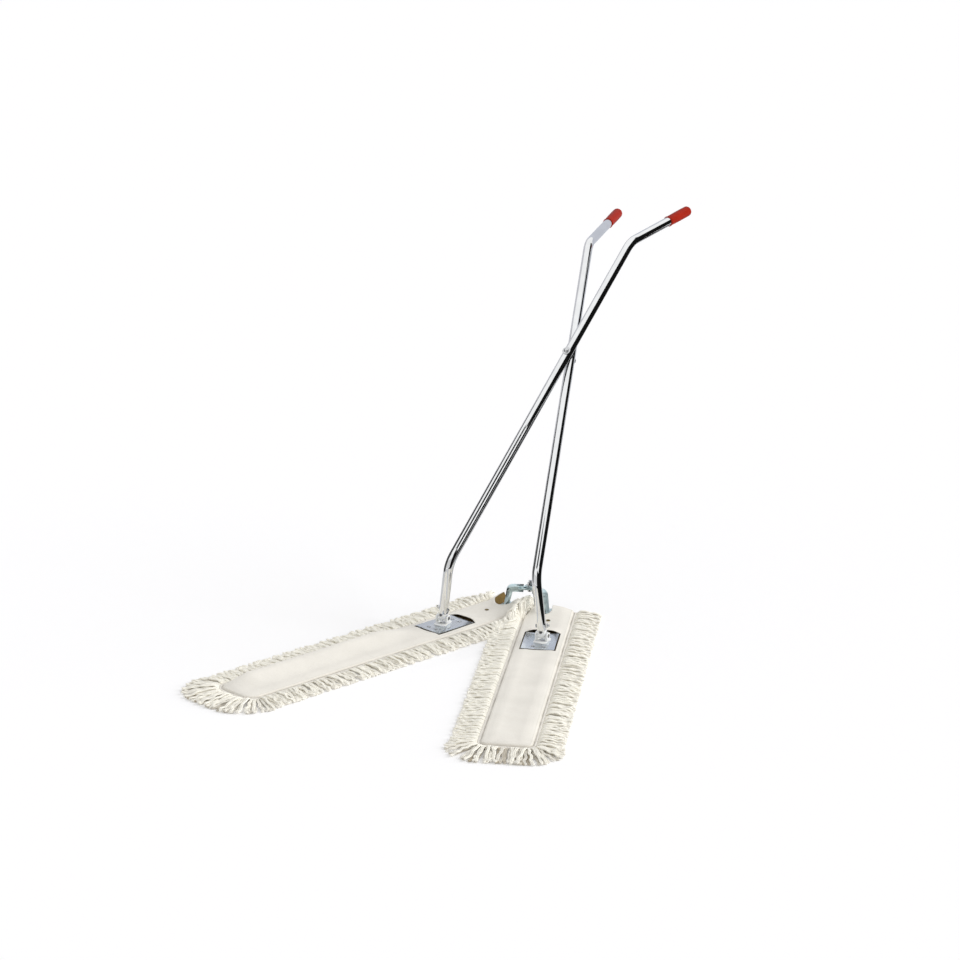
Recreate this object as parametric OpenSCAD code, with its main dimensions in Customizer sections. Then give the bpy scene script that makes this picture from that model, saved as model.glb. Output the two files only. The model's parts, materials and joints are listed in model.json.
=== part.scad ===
// Two-headed dust mop: two long mop heads hinged in a V, pushed by two crossing bent handles.
// X runs across the V, +Y points back to the user, +Z up; the V opens towards -Y.
// Left and right are as seen from the open side of the V. Lengths are in mm, angles in degrees.

/* [Mop heads] */
// Angle between the two heads
v_angle = 36.8; // [28:0.2:60]
// Length of a mop cover without its fringe
head_l = 1010; // [700:5:1200]
// Width of a mop cover across its hems
head_w = 146; // [134:1:168]
// Distance from the hinge axis to a head's centreline
head_offset = 57; // [50:1:80]
// Distance from the hinge axis to the open end of the cover
cover_start = 4; // [2:1:12]
// Radius of the cover's tip corners
tip_r = 43; // [20:1:55]
// Width of the sewn hem round the cover
hem_w = 9; // [6:1:12]
// Thickness of the sewn hem
hem_t = 3; // [2:0.5:5]
// Thickness of the yarn sole under the cover
pad_t = 5; // [3:0.5:8]
// Thickness of the cover's cloth
cloth_t = 1; // [0.6:0.1:1.4]

/* [Fringe] */
// Length of the fringe along the sides
fringe_side = 69; // [45:1:85]
// Length of the fringe at the tip
fringe_tip = 96; // [55:1:110]
// Thickness of the fringe
fringe_t = 6; // [4:0.5:8]
// Spacing of the tufts along the hem
tuft_pitch = 20; // [16:1:40]
// Gap between tufts at the hem
tuft_gap = 2; // [1:0.5:4]

/* [Head frame] */
// Diameter of the frame wire
wire_d = 5; // [4:0.5:6]
// Distance between the two long wires, middle to middle
wire_gauge = 66; // [58:1:72]
// Bend radius of the frame wire at its corners
wire_bend_r = 14; // [10:1:20]
// Length of the saddle plate along the head
plate_l = 128; // [110:1:150]
// Width of the saddle plate across the head
plate_w = 87; // [82:1:92]
// Thickness of the saddle plate
plate_t = 2; // [1.5:0.1:2.5]
// Depth of the plate's turned-down lips
lip_h = 4; // [2:0.5:5]
// Distance from the hinge axis to the plate's middle, along the head
plate_at = 265.5; // [200:0.5:330]

/* [Universal joints] */
// Distance of the swivel from the plate's middle, outwards
joint_outboard = 6; // [0:0.5:12]
// Height of the tilt axis above the saddle plate
tilt_h = 16.6; // [16:0.1:22]
// Width of the knuckle along the tilt axis
knuckle_w = 25; // [25:0.5:28]
// Radius of the knuckle about the tilt axis
knuckle_r = 9.5; // [8:0.1:9.6]
// Thickness of the yoke's ears
ear_t = 4.5; // [3:0.1:6]
// Diameter of the tilt pins and of the swing pin
joint_pin_d = 6; // [5:0.1:6.4]
// Diameter of the swivel rivet
swivel_d = 8; // [6:0.5:10]

/* [Handles] */
// Outer diameter of the handle tubes
tube_d = 25; // [22:0.5:25]
// Wall of the handle tubes
tube_wall = 1.2; // [0.8:0.1:2]
// Slope of the plane in which the handles cross
plane_slope = 46; // [40:0.5:52]
// Bend near the foot of a handle
lower_bend = 46.2; // [42:0.1:50]
// Bend near the grip
upper_bend = 39.3; // [25:0.1:50]
// From the joint to the lower bend
lower_l = 156; // [130:1:190]
// From the lower bend to the upper bend
main_l = 1038; // [900:1:1150]
// From the upper bend to the end of the grip
top_l = 305; // [260:1:360]
// Radius of the tube bends
bend_r = 70; // [55:1:90]
// Distance in the crossing plane from a handle's joint to the crossing bolt
scissor_at = 776; // [700:1:850]
// Room between the two tubes at the crossing
scissor_gap = 2; // [1.6:0.1:4]
// Diameter of the crossing bolt
scissor_d = 6; // [5:0.5:8]

/* [Grips] */
// Length of a grip
grip_l = 110; // [95:1:140]
// Diameter of a grip at its fullest
grip_d = 31; // [29:0.5:36]
// Diameter of a grip at its mouth
grip_mouth_d = 28.5; // [28:0.5:32]

/* [V hinge] */
// Height of the hinge arms' top edge
arm_top = 75; // [68:1:90]
// Depth of an arm's channel
arm_w = 17; // [15:1:22]
// Width of an arm's channel across its two walls
arm_d = 16; // [12:1:20]
// Thickness of an arm's steel
arm_t = 2; // [1.5:0.5:3]
// Distance from the hinge axis to the foot of an arm, across the head
foot_across = 48; // [42:1:56]
// Distance from the hinge axis to the foot of an arm, along the head
foot_along = 41; // [34:1:44]
// Diameter of the hinge bolt
hinge_d = 8; // [6:0.5:10]

/* [Hidden] */
$fn = 48;
// Shared clearances and allowances
overrun = 1;
run_gap = 0.05;
soft_gap = 0.3;
flat_gap = 0.1;
// How far each head can close from the modelled angle, and the room the soft parts then leave
close_turn = 5;
trim_gap = 1.5;

// Heights in a head, from the floor up
cover_z = pad_t;
strap_t = 1.2;
strap_z = cover_z + cloth_t + soft_gap;
wire_z = strap_z + strap_t + wire_d/2;
plate_z = wire_z + wire_d/2;
plate_top = plate_z + plate_t;
cover_top = plate_top - soft_gap;
fringe_z = 0.5;
// A head's outline about its centreline
open_y = -cover_start;
tip_y = -(cover_start + head_l);
pocket_inset = hem_w;
cavity_inset = hem_w + cloth_t;
cutout_room = 3;
mouth_w = 80;
mouth_l = 66;
mouth_out = 6;
// Fringe roots
fringe_band = 5;
fringe_lap = 3;
// Wire frame
wire_start = 20;
wire_end_room = 14;
wire_tip_y = tip_y + cavity_inset + wire_end_room;
wire_open_y = -wire_start;
// Saddle plate and its clamp straps
lip_t = 2;
strap_w = 16;
strap_at = 44;
strap_foot = 8;
rivet_d = 5;
rivet_head_d = 9;
rivet_head_h = 1.6;
rivet_across = 14;
// Universal joint
tilt_z = plate_top + tilt_h;
half_v = v_angle/2;
joint_across = head_offset + joint_outboard;
yoke_base_t = 2.5;
yoke_l = 50;
yoke_corner_r = 10;
ear_r = 9;
ear_in = knuckle_w/2 + soft_gap;
yoke_w = 2*(ear_in + ear_t);
swivel_head_d = 15;
swivel_head_h = 1.4;
swivel_tail_h = 1.6;
stub_inner = 4.5;
pin_head_d = 10;
pin_head_h = 2;
seat_h = 4.7;
swing_disc_r = 11.2;
swing_disc_h = 5;
swing_disc_z = seat_h + soft_gap;
swing_tail = 7.5;
swing_room = 1.5;
swing_head_h = 2.5;
// Stem in the foot of a handle
collar_at = 13.5;
collar_h = 1.5;
collar_lip = 0.5;
collar_d = tube_d + 2*collar_lip;
stem_l = 48;
stem_d = tube_d - 2*tube_wall - 2*run_gap;
bolt_at = 25;
stem_bolt_d = 6;
stem_head_d = 10;
stem_head_h = 4;
stem_tail = 4;
nut_d = 11.5;
nut_h = 5;
// Bends of the tubes
seam_w = 1;
seam_proud = 0.02;
// Crossing bolt
scissor_head_d = 13;
scissor_head_h = 5;
scissor_nut_d = 11.5;
scissor_nut_h = 6;
scissor_tail = 3;
scissor_washer_d = 22;
scissor_washer_t = 1.6;
scissor_play = 3.7;
// Grips
grip_end = 8;
grip_lip_d = 32;
grip_lip_w = 4;
grip_steps = 8;
grip_swell_turn = 150;
// V hinge
tab_r = 13;
tab_t = 4;
tab_room = 4;
hinge_washer_d = 20;
hinge_washer_t = 1.5;
hinge_head_d = 14;
hinge_head_h = 5.5;
hinge_nut_d = 15;
hinge_nut_h = 6.5;
hinge_tail = 6;
leg_w = 13;
leg_lean = 7;
foot_t = 3;
foot_w = 38;
foot_l = 42;
foot_start = 7;
clamp_t = 1.2;
arm_rivet_in = 12;
arm_rivet_along_shares = [0.15, 0.62];
arm_rivet_turn_share = [-1, 1];
// Press studs on the covers
stud_d = 11;
stud_h = 2.2;
stud_across = 4;
stud_along = 101;

// Height of the lower hinge tab, so that both tabs lie within the bar's width
tab_high = arm_top - tab_t;
tab_low = tab_high - tab_t - hinge_washer_t - flat_gap;

// Places of the joint seen from the hinge, and the crossing of the handles
joint_x = joint_across*cos(half_v) + plate_at*sin(half_v);
joint_from_hinge_y = joint_across*sin(half_v) - plate_at*cos(half_v);
cross_angle = asin(joint_x/scissor_at);
plane_lean = atan((tube_d + scissor_gap)/(2*scissor_at));
main_h = lower_l*sin(lower_bend);
scissor_h = main_h/cos(plane_lean);

// The origin lies under the middle of the whole length
end_along = lower_l*cos(lower_bend) + main_l + top_l*cos(upper_bend);
end_h = main_h - top_l*sin(upper_bend);
reach_back = joint_from_hinge_y + end_along*cos(cross_angle)*cos(plane_slope) - end_h*sin(plane_slope);
tip_in = head_offset - head_w/2 + tip_r;
reach_front = tip_in*sin(half_v) - (cover_start + head_l + fringe_tip)*cos(half_v);
hinge_y = -(reach_back + reach_front)/2;
joint_y = hinge_y + joint_from_hinge_y;

SIDES = ["left", "right"];
PAIRS = ["wire_frame", "saddle_plate", "clamp_straps", "plate_rivets", "swivel_rivet", "yarn_sole",
         "canvas_cover", "fringe", "press_stud", "hinge_arm", "arm_clamp", "arm_rivets", "yoke",
         "tilt_pins", "knuckle", "swing_pin", "stem", "handle_tube", "stem_bolt", "stem_nut", "grip"];
SINGLES = ["hinge_bolt", "hinge_washers", "hinge_nut", "scissor_bolt", "scissor_washers", "scissor_nut"];

// Frames that pieces are drawn in

// A right-hand piece stays, a left-hand piece is its mirror image
module sided(side) {
    if (side == "left") mirror([1, 0, 0]) children();
    else children();
}

// Head frame: hinge axis at the origin, head along -Y, outwards is +X
module in_head(side) {
    sided(side) translate([0, hinge_y, 0]) rotate([0, 0, half_v]) children();
}

// Head frame moved to the head's centreline
module in_centre(side) {
    in_head(side) translate([head_offset, 0, 0]) children();
}

// Joint frame: on the swivel axis at the floor, square to the V's middle plane
module in_joint(side) {
    sided(side) translate([joint_x, joint_y, 0]) children();
}

// Crossing frame: on the tilt axis, Z along the swing pin and the crossing bolt
module in_plane(side) {
    in_joint(side) translate([0, 0, tilt_z]) rotate([plane_slope, 0, 0]) children();
}

// Handle frame: Y along the handle's main length; the left handle leans over the right one
module in_handle(side) {
    lean = side == "left" ? plane_lean : -plane_lean;
    in_plane(side) rotate([0, 0, cross_angle]) rotate([lean, 0, 0]) children();
}

// Foot frame: Z along the foot of the handle
module in_foot(side) {
    in_handle(side) rotate([lower_bend - 90, 0, 0]) children();
}

// Crossing bolt frame: Z along the bolt, zero halfway between the two tubes
module at_crossing() {
    in_plane("right") translate([-joint_x, scissor_at*cos(cross_angle), scissor_h]) children();
}

// Shared shapes

module rod(d, l) {
    cylinder(d = d, h = l);
}

module ring(d_out, d_in, l) {
    difference() {
        cylinder(d = d_out, h = l);
        translate([0, 0, -overrun]) cylinder(d = d_in, h = l + 2*overrun);
    }
}

module hex_nut(d, d_in, h) {
    difference() {
        cylinder(d = d, h = h, $fn = 6);
        translate([0, 0, -overrun]) cylinder(d = d_in, h = h + 2*overrun);
    }
}

// Low round head: a disc under a dome
module round_head(d, h) {
    rise = h/2;
    dome_r = (d*d/4 + rise*rise)/(2*rise);
    cylinder(d = d, h = h - rise);
    translate([0, 0, h - rise]) intersection() {
        translate([0, 0, rise - dome_r]) sphere(r = dome_r);
        cylinder(d = d, h = rise);
    }
}

// Flat plate with round corners, about its middle
module rounded_plate(w, l, r, t) {
    linear_extrude(t) {
        square([w - 2*r, l], center = true);
        square([w, l - 2*r], center = true);
        for (i = [-1, 1], j = [-1, 1]) translate([i*(w/2 - r), j*(l/2 - r)]) circle(r);
    }
}

// Plan of the cover: square at the open end, round corners at the tip
module cover_plan(inset) {
    half_w = head_w/2 - inset;
    low_y = tip_y + inset;
    r = tip_r - inset;
    translate([-half_w, low_y + r]) square([2*half_w, open_y - low_y - r]);
    translate([r - half_w, low_y]) square([2*(half_w - r), r]);
    for (i = [-1, 1]) translate([i*(half_w - r), low_y + r]) circle(r);
}

// What the other head needs when the V is closed
module other_head() {
    reach = head_l + head_w + fringe_tip;
    rotate([0, 0, close_turn - half_v])
        translate([trim_gap - reach, -reach, -overrun]) cube([reach, reach, reach]);
}

// Mop head pieces

module yarn_sole(side) color("linen") in_head(side) difference() {
    translate([head_offset, 0, 0]) linear_extrude(pad_t) cover_plan(0);
    other_head();
}

module canvas_cover(side) color("antiquewhite") in_head(side) difference() {
    translate([head_offset, 0, cover_z]) {
        linear_extrude(hem_t) cover_plan(0);
        linear_extrude(cover_top - cover_z) cover_plan(pocket_inset);
    }
    translate([head_offset, 0, cover_z + cloth_t]) {
        linear_extrude(cover_top - cover_z - 2*cloth_t) cover_plan(cavity_inset);
        translate([cavity_inset - head_w/2, open_y - overrun, 0])
            cube([head_w - 2*cavity_inset, 2*overrun, cover_top - cover_z - 2*cloth_t]);
        translate([mouth_out - mouth_w/2, open_y - mouth_l, 0])
            cube([mouth_w, mouth_l + overrun, cover_top - cover_z]);
        translate([-plate_w/2 - cutout_room, -plate_at - plate_l/2 - cutout_room, 0])
            cube([plate_w + 2*cutout_room, plate_l + 2*cutout_room, cover_top - cover_z]);
    }
    other_head();
}

// Lengths along the fringe: a side, a corner at the tufts' ends, and the tip
side_run = open_y - tip_y - tip_r;
corner_run = PI*(tip_r + fringe_side)/2;
tip_run = head_w - 2*tip_r;
edge_run = 2*side_run + 2*corner_run + tip_run;

// Share of the way from side to tip fringe at a length s along the edge
function tip_share(s) =
    let (from_end = min(s, edge_run - s))
    min(1, max(0, (from_end - side_run)/corner_run));

// Point at a length s along the edge, a distance d outside it
function edge_point(s, d) =
    s > edge_run/2 ? let (p = edge_point(edge_run - s, d)) [-p[0], p[1]]
    : s < side_run ? [-head_w/2 - d, open_y - s]
    : s < side_run + corner_run ? let (a = 180 + 90*tip_share(s))
        [tip_r - head_w/2, tip_y + tip_r] + (tip_r + d)*[cos(a), sin(a)]
    : [tip_r - head_w/2 + s - side_run - corner_run, tip_y - d];

function fringe_length(s) = fringe_side + (fringe_tip - fringe_side)*tip_share(s);

// The fringe is a band round the hem that splits into tufts
module fringe(side) color("cornsilk") in_head(side) difference() {
    count = floor(edge_run/tuft_pitch);
    step = edge_run/count;
    tufts = [for (i = [0 : count - 1]) let (s = i*step, e = s + step, m = s + step/2)
        each [edge_point(s + tuft_gap/2, fringe_band), edge_point(s + tuft_gap, fringe_length(m)),
              edge_point(e - tuft_gap, fringe_length(m)), edge_point(e - tuft_gap/2, fringe_band)]];
    root = [for (i = [count : -1 : 0]) edge_point(i*step, -fringe_lap)];
    translate([head_offset, 0, fringe_z]) linear_extrude(fringe_t) polygon(concat(tufts, root));
    translate([head_offset, 0, -overrun]) linear_extrude(fringe_t + 2*overrun) cover_plan(0);
    other_head();
}

// One closed loop of wire that slides into the cover's pocket
module wire_frame(side) color("silver") in_centre(side) translate([0, 0, wire_z]) {
    half = wire_gauge/2;
    inner = half - wire_bend_r;
    straight = wire_open_y - wire_tip_y - 2*wire_bend_r;
    for (i = [-1, 1]) {
        translate([i*half, wire_tip_y + wire_bend_r, 0]) rotate([-90, 0, 0]) rod(wire_d, straight);
        translate([i*inner, wire_tip_y + wire_bend_r, 0]) mirror([i < 0 ? 1 : 0, 0, 0])
            rotate([0, 0, -90]) rotate_extrude(angle = 90) translate([wire_bend_r, 0]) circle(d = wire_d);
        translate([i*inner, wire_open_y - wire_bend_r, 0]) mirror([i < 0 ? 1 : 0, 0, 0])
            rotate_extrude(angle = 90) translate([wire_bend_r, 0]) circle(d = wire_d);
    }
    for (y = [wire_tip_y, wire_open_y]) translate([-inner, y, 0]) rotate([0, 90, 0]) rod(wire_d, 2*inner);
}

// Pressed plate that sits on the two long wires, with its edges turned down
module saddle_plate(side) color("lightsteelblue") in_centre(side) difference() {
    end_lip_w = wire_gauge - wire_d - 2*lip_t;
    translate([0, -plate_at, plate_z]) {
        translate([-plate_w/2, -plate_l/2, 0]) cube([plate_w, plate_l, plate_t]);
        for (i = [-1, 1]) {
            translate([i*(plate_w - lip_t)/2 - lip_t/2, -plate_l/2, -lip_h]) cube([lip_t, plate_l, lip_h]);
            translate([-end_lip_w/2, i*(plate_l - lip_t)/2 - lip_t/2, -lip_h]) cube([end_lip_w, lip_t, lip_h]);
        }
    }
    translate([joint_outboard, -plate_at, 0]) rod(swivel_d + 2*run_gap, plate_top + overrun);
    for (i = [-1, 1], j = [-1, 1]) translate([i*rivet_across, j*strap_at - plate_at, 0])
        rod(rivet_d + 2*run_gap, plate_top + overrun);
}

// Hat-section straps under the plate that hold the wires up against it
module clamp_straps(side) color("gainsboro") in_centre(side) {
    leg_x = (wire_gauge - wire_d)/2 - soft_gap;
    foot_x = leg_x + strap_foot;
    for (j = [-1, 1]) translate([0, j*strap_at - plate_at, 0]) difference() {
        translate([0, strap_w/2, 0]) rotate([90, 0, 0]) linear_extrude(strap_w) {
            translate([-leg_x, plate_z - strap_t]) square([2*leg_x, strap_t]);
            for (i = [0, 1]) mirror([i, 0]) {
                translate([leg_x - strap_t, strap_z]) square([strap_t, plate_z - strap_z]);
                translate([leg_x - strap_t, strap_z]) square([foot_x - leg_x, strap_t]);
            }
        }
        for (i = [-1, 1]) translate([i*rivet_across, 0, 0]) rod(rivet_d + 2*run_gap, plate_top);
    }
}

module plate_rivets(side) color("gainsboro") in_centre(side)
    for (i = [-1, 1], j = [-1, 1]) translate([i*rivet_across, j*strap_at - plate_at, 0]) {
        translate([0, 0, plate_z - strap_t]) rod(rivet_d, plate_top - plate_z + strap_t);
        translate([0, 0, plate_top]) round_head(rivet_head_d, rivet_head_h);
        translate([0, 0, plate_z - strap_t - rivet_head_h]) rod(rivet_head_d, rivet_head_h);
    }

module swivel_rivet(side) color("gainsboro") in_joint(side) {
    head_z = plate_top + yoke_base_t + flat_gap;
    translate([0, 0, plate_z]) rod(swivel_d, head_z - plate_z);
    translate([0, 0, head_z]) rod(swivel_head_d, swivel_head_h);
    translate([0, 0, plate_z - swivel_tail_h]) rod(swivel_head_d, swivel_tail_h);
}

// Snap fastener on the cover beside its open end
module press_stud(side) color("darkgoldenrod") in_centre(side)
    translate([stud_across, -stud_along, cover_top]) round_head(stud_d, stud_h);

// V hinge

// Distance and direction from the hinge axis to the foot of an arm
foot_far = norm([foot_across, foot_along]);
foot_turn = atan2(-foot_along, foot_across);
bar_start = tab_r + tab_room;
leg_out = foot_far + leg_w/2;
bar_end = leg_out - leg_lean;

elbow_at = [bar_end - arm_w, arm_top - arm_w];

// Side view of an arm: out from the hinge, round the elbow and down to a narrower leg
module arm_profile() {
    translate([bar_start, elbow_at[1]]) square([elbow_at[0] - bar_start, arm_w]);
    translate(elbow_at) intersection() {
        circle(arm_w);
        square(arm_w);
    }
    polygon([elbow_at, [bar_end, elbow_at[1]], [leg_out, plate_z], [leg_out - leg_w, plate_z]]);
}

// Side view of the room in an arm's channel, open on the inner side
module arm_room() {
    room = arm_w - arm_t;
    translate([bar_start - overrun, elbow_at[1] - overrun])
        square([elbow_at[0] - bar_start + overrun, room + overrun]);
    translate(elbow_at) intersection() {
        circle(room);
        square(room);
    }
    polygon([[elbow_at[0] - overrun, elbow_at[1]], [bar_end - arm_t, elbow_at[1]],
             [leg_out - arm_t, plate_z], [leg_out - leg_w - overrun, plate_z]]);
}

module hinge_arm(side) color("lightsteelblue") in_head(side) difference() {
    tab_z = side == "left" ? tab_low : tab_high;
    room_d = arm_d - 2*arm_t;
    union() {
        rotate([0, 0, foot_turn]) {
            difference() {
                translate([0, arm_d/2, 0]) rotate([90, 0, 0]) linear_extrude(arm_d) arm_profile();
                translate([0, room_d/2, 0]) rotate([90, 0, 0]) linear_extrude(room_d) arm_room();
            }
            translate([0, 0, tab_z]) linear_extrude(tab_t) {
                circle(tab_r);
                translate([0, -tab_r]) square([bar_start + tab_r, 2*tab_r]);
            }
        }
        translate([foot_across - foot_w/2, -foot_start - foot_l, plate_z]) cube([foot_w, foot_l, foot_t]);
    }
    translate([0, 0, tab_z - overrun]) rod(hinge_d + 2*run_gap, tab_t + 2*overrun);
    at_arm_rivets() rod(rivet_d + 2*run_gap, plate_top + foot_t);
}

// The two rivets stand on both sides of the cross wire, clear of the arm's leg
module at_arm_rivets() {
    for (i = [0, 1])
        translate([foot_across + arm_rivet_turn_share[i]*arm_rivet_in,
                   -foot_start - arm_rivet_along_shares[i]*foot_l, 0]) children();
}

// Flat plate under the cross wire
module arm_clamp(side) color("gainsboro") in_head(side) difference() {
    translate([foot_across - foot_w/2, -foot_start - foot_l, wire_z - wire_d/2 - clamp_t])
        cube([foot_w, foot_l, clamp_t]);
    at_arm_rivets() rod(rivet_d + 2*run_gap, plate_top);
}

module arm_rivets(side) color("gainsboro") in_head(side) at_arm_rivets() {
    low_z = wire_z - wire_d/2 - clamp_t;
    translate([0, 0, low_z]) rod(rivet_d, plate_z + foot_t - low_z);
    translate([0, 0, plate_z + foot_t]) round_head(rivet_head_d, rivet_head_h);
}

// Bolt from below through both tabs, with a long end above the nut
module hinge_bolt() color("silver") translate([0, hinge_y, 0]) {
    under = tab_low - hinge_washer_t;
    nut_top = tab_high + tab_t + flat_gap + hinge_washer_t + hinge_nut_h;
    translate([0, 0, under]) rod(hinge_d, nut_top + hinge_tail - under);
    translate([0, 0, under - hinge_head_h]) cylinder(d = hinge_head_d, h = hinge_head_h, $fn = 6);
}

module hinge_washers() color("gainsboro") translate([0, hinge_y, 0])
    for (z = [tab_low - hinge_washer_t, tab_low + tab_t, tab_high + tab_t + flat_gap])
        translate([0, 0, z]) ring(hinge_washer_d, hinge_d + 2*run_gap, hinge_washer_t);

module hinge_nut() color("silver")
    translate([0, hinge_y, tab_high + tab_t + flat_gap + hinge_washer_t])
        hex_nut(hinge_nut_d, hinge_d + 2*run_gap, hinge_nut_h);

// Universal joint

// Moulded clevis that swivels on the plate
module yoke(side) color("whitesmoke") in_joint(side) difference() {
    union() {
        translate([0, 0, plate_top]) rounded_plate(yoke_w, yoke_l, yoke_corner_r, yoke_base_t);
        for (i = [-1, 1]) translate([i*(ear_in + ear_t/2) - ear_t/2, 0, 0]) rotate([90, 0, 90])
            linear_extrude(ear_t) {
                translate([0, tilt_z]) circle(ear_r);
                translate([-ear_r, plate_top]) square([2*ear_r, tilt_h]);
            }
    }
    translate([0, 0, plate_top - overrun]) rod(swivel_d + 2*run_gap, yoke_base_t + 2*overrun);
    translate([-yoke_w/2 - overrun, 0, tilt_z]) rotate([0, 90, 0])
        rod(joint_pin_d + 2*run_gap, yoke_w + 2*overrun);
}

// A stub pin through each ear leaves room for the swing pin between them
module tilt_pins(side) color("dimgray") in_joint(side) for (i = [0, 1]) mirror([i, 0, 0])
    translate([0, 0, tilt_z]) rotate([0, 90, 0]) {
        translate([0, 0, stub_inner]) rod(joint_pin_d, yoke_w/2 - stub_inner);
        translate([0, 0, yoke_w/2]) round_head(pin_head_d, pin_head_h);
    }

// Round block that tilts in the yoke, with a sloping seat for the stem
module knuckle(side) color("white") in_plane(side) difference() {
    translate([-knuckle_w/2, 0, 0]) rotate([0, 90, 0]) cylinder(r = knuckle_r, h = knuckle_w);
    translate([-knuckle_w, -knuckle_w, seat_h]) cube([2*knuckle_w, 2*knuckle_w, knuckle_w]);
    for (i = [0, 1]) mirror([i, 0, 0]) translate([stub_inner - soft_gap, 0, 0]) rotate([0, 90, 0])
        rod(joint_pin_d + 2*run_gap, knuckle_w);
    translate([0, 0, -knuckle_w/2]) rod(joint_pin_d + 2*run_gap, knuckle_w);
}

module swing_pin(side) color("dimgray") in_plane(side) {
    top_z = swing_disc_z + swing_disc_h + flat_gap;
    translate([0, 0, -swing_tail]) rod(joint_pin_d, top_z + swing_tail);
    translate([0, 0, top_z]) round_head(pin_head_d, swing_head_h);
}

// Space under the stem in which the round back of the knuckle passes
module knuckle_room() {
    intersection() {
        translate([-collar_d, 0, 0]) rotate([0, 90, 0]) cylinder(r = knuckle_r + swing_room, h = 2*collar_d);
        translate([-collar_d, -collar_d, swing_disc_z - collar_d]) cube([2*collar_d, 2*collar_d, collar_d]);
    }
}

// Space beside the stem in which the yoke's ears pass
module ear_room() {
    for (i = [0, 1]) mirror([i, 0, 0]) translate([ear_in - swing_room, 0, 0]) rotate([0, 90, 0])
        cylinder(r = ear_r + swing_room, h = ear_t + 2*swing_room);
}

// Foot of the stem: a disc on the knuckle's seat that grows into the collar under the tube
module stem_foot(side) {
    difference() {
        hull($fn = 32) {
            in_plane(side) translate([0, 0, swing_disc_z]) cylinder(r = swing_disc_r, h = swing_disc_h);
            in_foot(side) translate([0, 0, collar_at - collar_h]) cylinder(d = collar_d, h = collar_h + overrun);
        }
        in_foot(side) translate([0, 0, collar_at]) rod(2*tube_d, tube_d);
    }
}

// Nylon foot piece with the post that stands inside the tube
module stem(side) color("white") difference() {
    union() {
        stem_foot(side);
        in_foot(side) translate([0, 0, collar_at - collar_h]) rod(stem_d, stem_l + collar_h);
    }
    in_plane(side) {
        translate([0, 0, -overrun]) rod(joint_pin_d + 2*run_gap, swing_disc_z + swing_disc_h + 2*overrun);
        translate([0, 0, swing_disc_z + swing_disc_h]) rod(pin_head_d + 2*soft_gap, collar_d);
        knuckle_room();
        ear_room();
    }
    in_foot(side) translate([-tube_d, 0, bolt_at]) rotate([0, 90, 0]) rod(stem_bolt_d + 2*run_gap, 2*tube_d);
}

// Handles

// Tangent lengths of the bends and the straight runs between them
lower_tangent = bend_r*tan(lower_bend/2);
upper_tangent = bend_r*tan(upper_bend/2);
lower_run = lower_l - lower_tangent;
main_run = main_l - lower_tangent - upper_tangent;
top_run = top_l - upper_tangent;

module tube_section() {
    difference() {
        circle(d = tube_d);
        circle(d = tube_d - 2*tube_wall);
    }
}

// Bend from +Z towards +Y
module tube_bend(angle) {
    translate([0, bend_r, 0]) rotate([90, 0, -90])
        rotate_extrude(angle = angle) translate([bend_r, 0]) tube_section();
}

// Faint band at the end of a bend, where the bending die gripped the tube
module tube_seam() {
    translate([0, 0, -seam_w/2])
        ring(tube_d + 2*seam_proud, tube_d - 2*tube_wall - 2*seam_proud, seam_w);
}

// Frame at the end of such a bend
module past_bend(angle) {
    translate([0, bend_r*(1 - cos(angle)), bend_r*sin(angle)]) rotate([-angle, 0, 0]) children();
}

module in_main(side) {
    in_foot(side) translate([0, 0, lower_run]) past_bend(lower_bend) children();
}

module in_top(side) {
    in_main(side) translate([0, 0, main_run]) past_bend(upper_bend) children();
}

// Bent tube, drilled for the bolt in its foot and for the crossing bolt
module handle_tube(side) color("silver") difference() {
    union() {
        in_foot(side) {
            translate([0, 0, collar_at]) linear_extrude(lower_run - collar_at) tube_section();
            translate([0, 0, lower_run]) tube_bend(lower_bend);
        }
        in_main(side) {
            tube_seam();
            linear_extrude(main_run) tube_section();
            translate([0, 0, main_run]) tube_bend(upper_bend);
        }
        in_top(side) {
            tube_seam();
            linear_extrude(top_run - grip_end) tube_section();
        }
    }
    in_foot(side) translate([-tube_d, 0, bolt_at]) rotate([0, 90, 0]) rod(stem_bolt_d + 2*run_gap, 2*tube_d);
    play = side == "left" ? run_gap : scissor_play;
    at_crossing() translate([0, 0, side == "left" ? 0 : -2*tube_d]) rod(scissor_d + 2*play, 2*tube_d);
}

module stem_bolt(side) color("silver") in_foot(side) translate([0, 0, bolt_at]) rotate([0, 90, 0]) {
    half = tube_d/2 + soft_gap;
    translate([0, 0, -half]) rod(stem_bolt_d, 2*half + nut_h + stem_tail);
    translate([0, 0, -half]) mirror([0, 0, 1]) round_head(stem_head_d, stem_head_h);
}

module stem_nut(side) color("silver") in_foot(side) translate([0, 0, bolt_at]) rotate([0, 90, 0])
    translate([0, 0, tube_d/2 + soft_gap]) hex_nut(nut_d, stem_bolt_d + 2*run_gap, nut_h);

// Moulded grip, pushed over the tube: a lip at its mouth, a slight swell and a round end
module grip(side) color("orangered") in_top(side) translate([0, 0, top_run - grip_l]) rotate_extrude() {
    bore_r = tube_d/2 + run_gap;
    round_r = grip_end;
    neck_z = grip_lip_w;
    full_z = grip_l - round_r;
    swell = [for (i = [0 : grip_steps]) let (t = i/grip_steps)
        [grip_mouth_d/2 + (grip_d - grip_mouth_d)/2*sin(grip_swell_turn*t), neck_z + (full_z - neck_z)*t]];
    end_r = swell[grip_steps][0];
    cap = [for (i = [1 : grip_steps]) let (a = 90*i/grip_steps)
        [end_r - round_r + round_r*cos(a), full_z + round_r*sin(a)]];
    polygon(concat([[bore_r, 0], [grip_lip_d/2, 0], [grip_lip_d/2, neck_z]], swell, cap,
                   [[0, grip_l], [0, grip_l - grip_end + soft_gap], [bore_r, grip_l - grip_end + soft_gap]]));
}

// Crossing bolt

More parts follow.
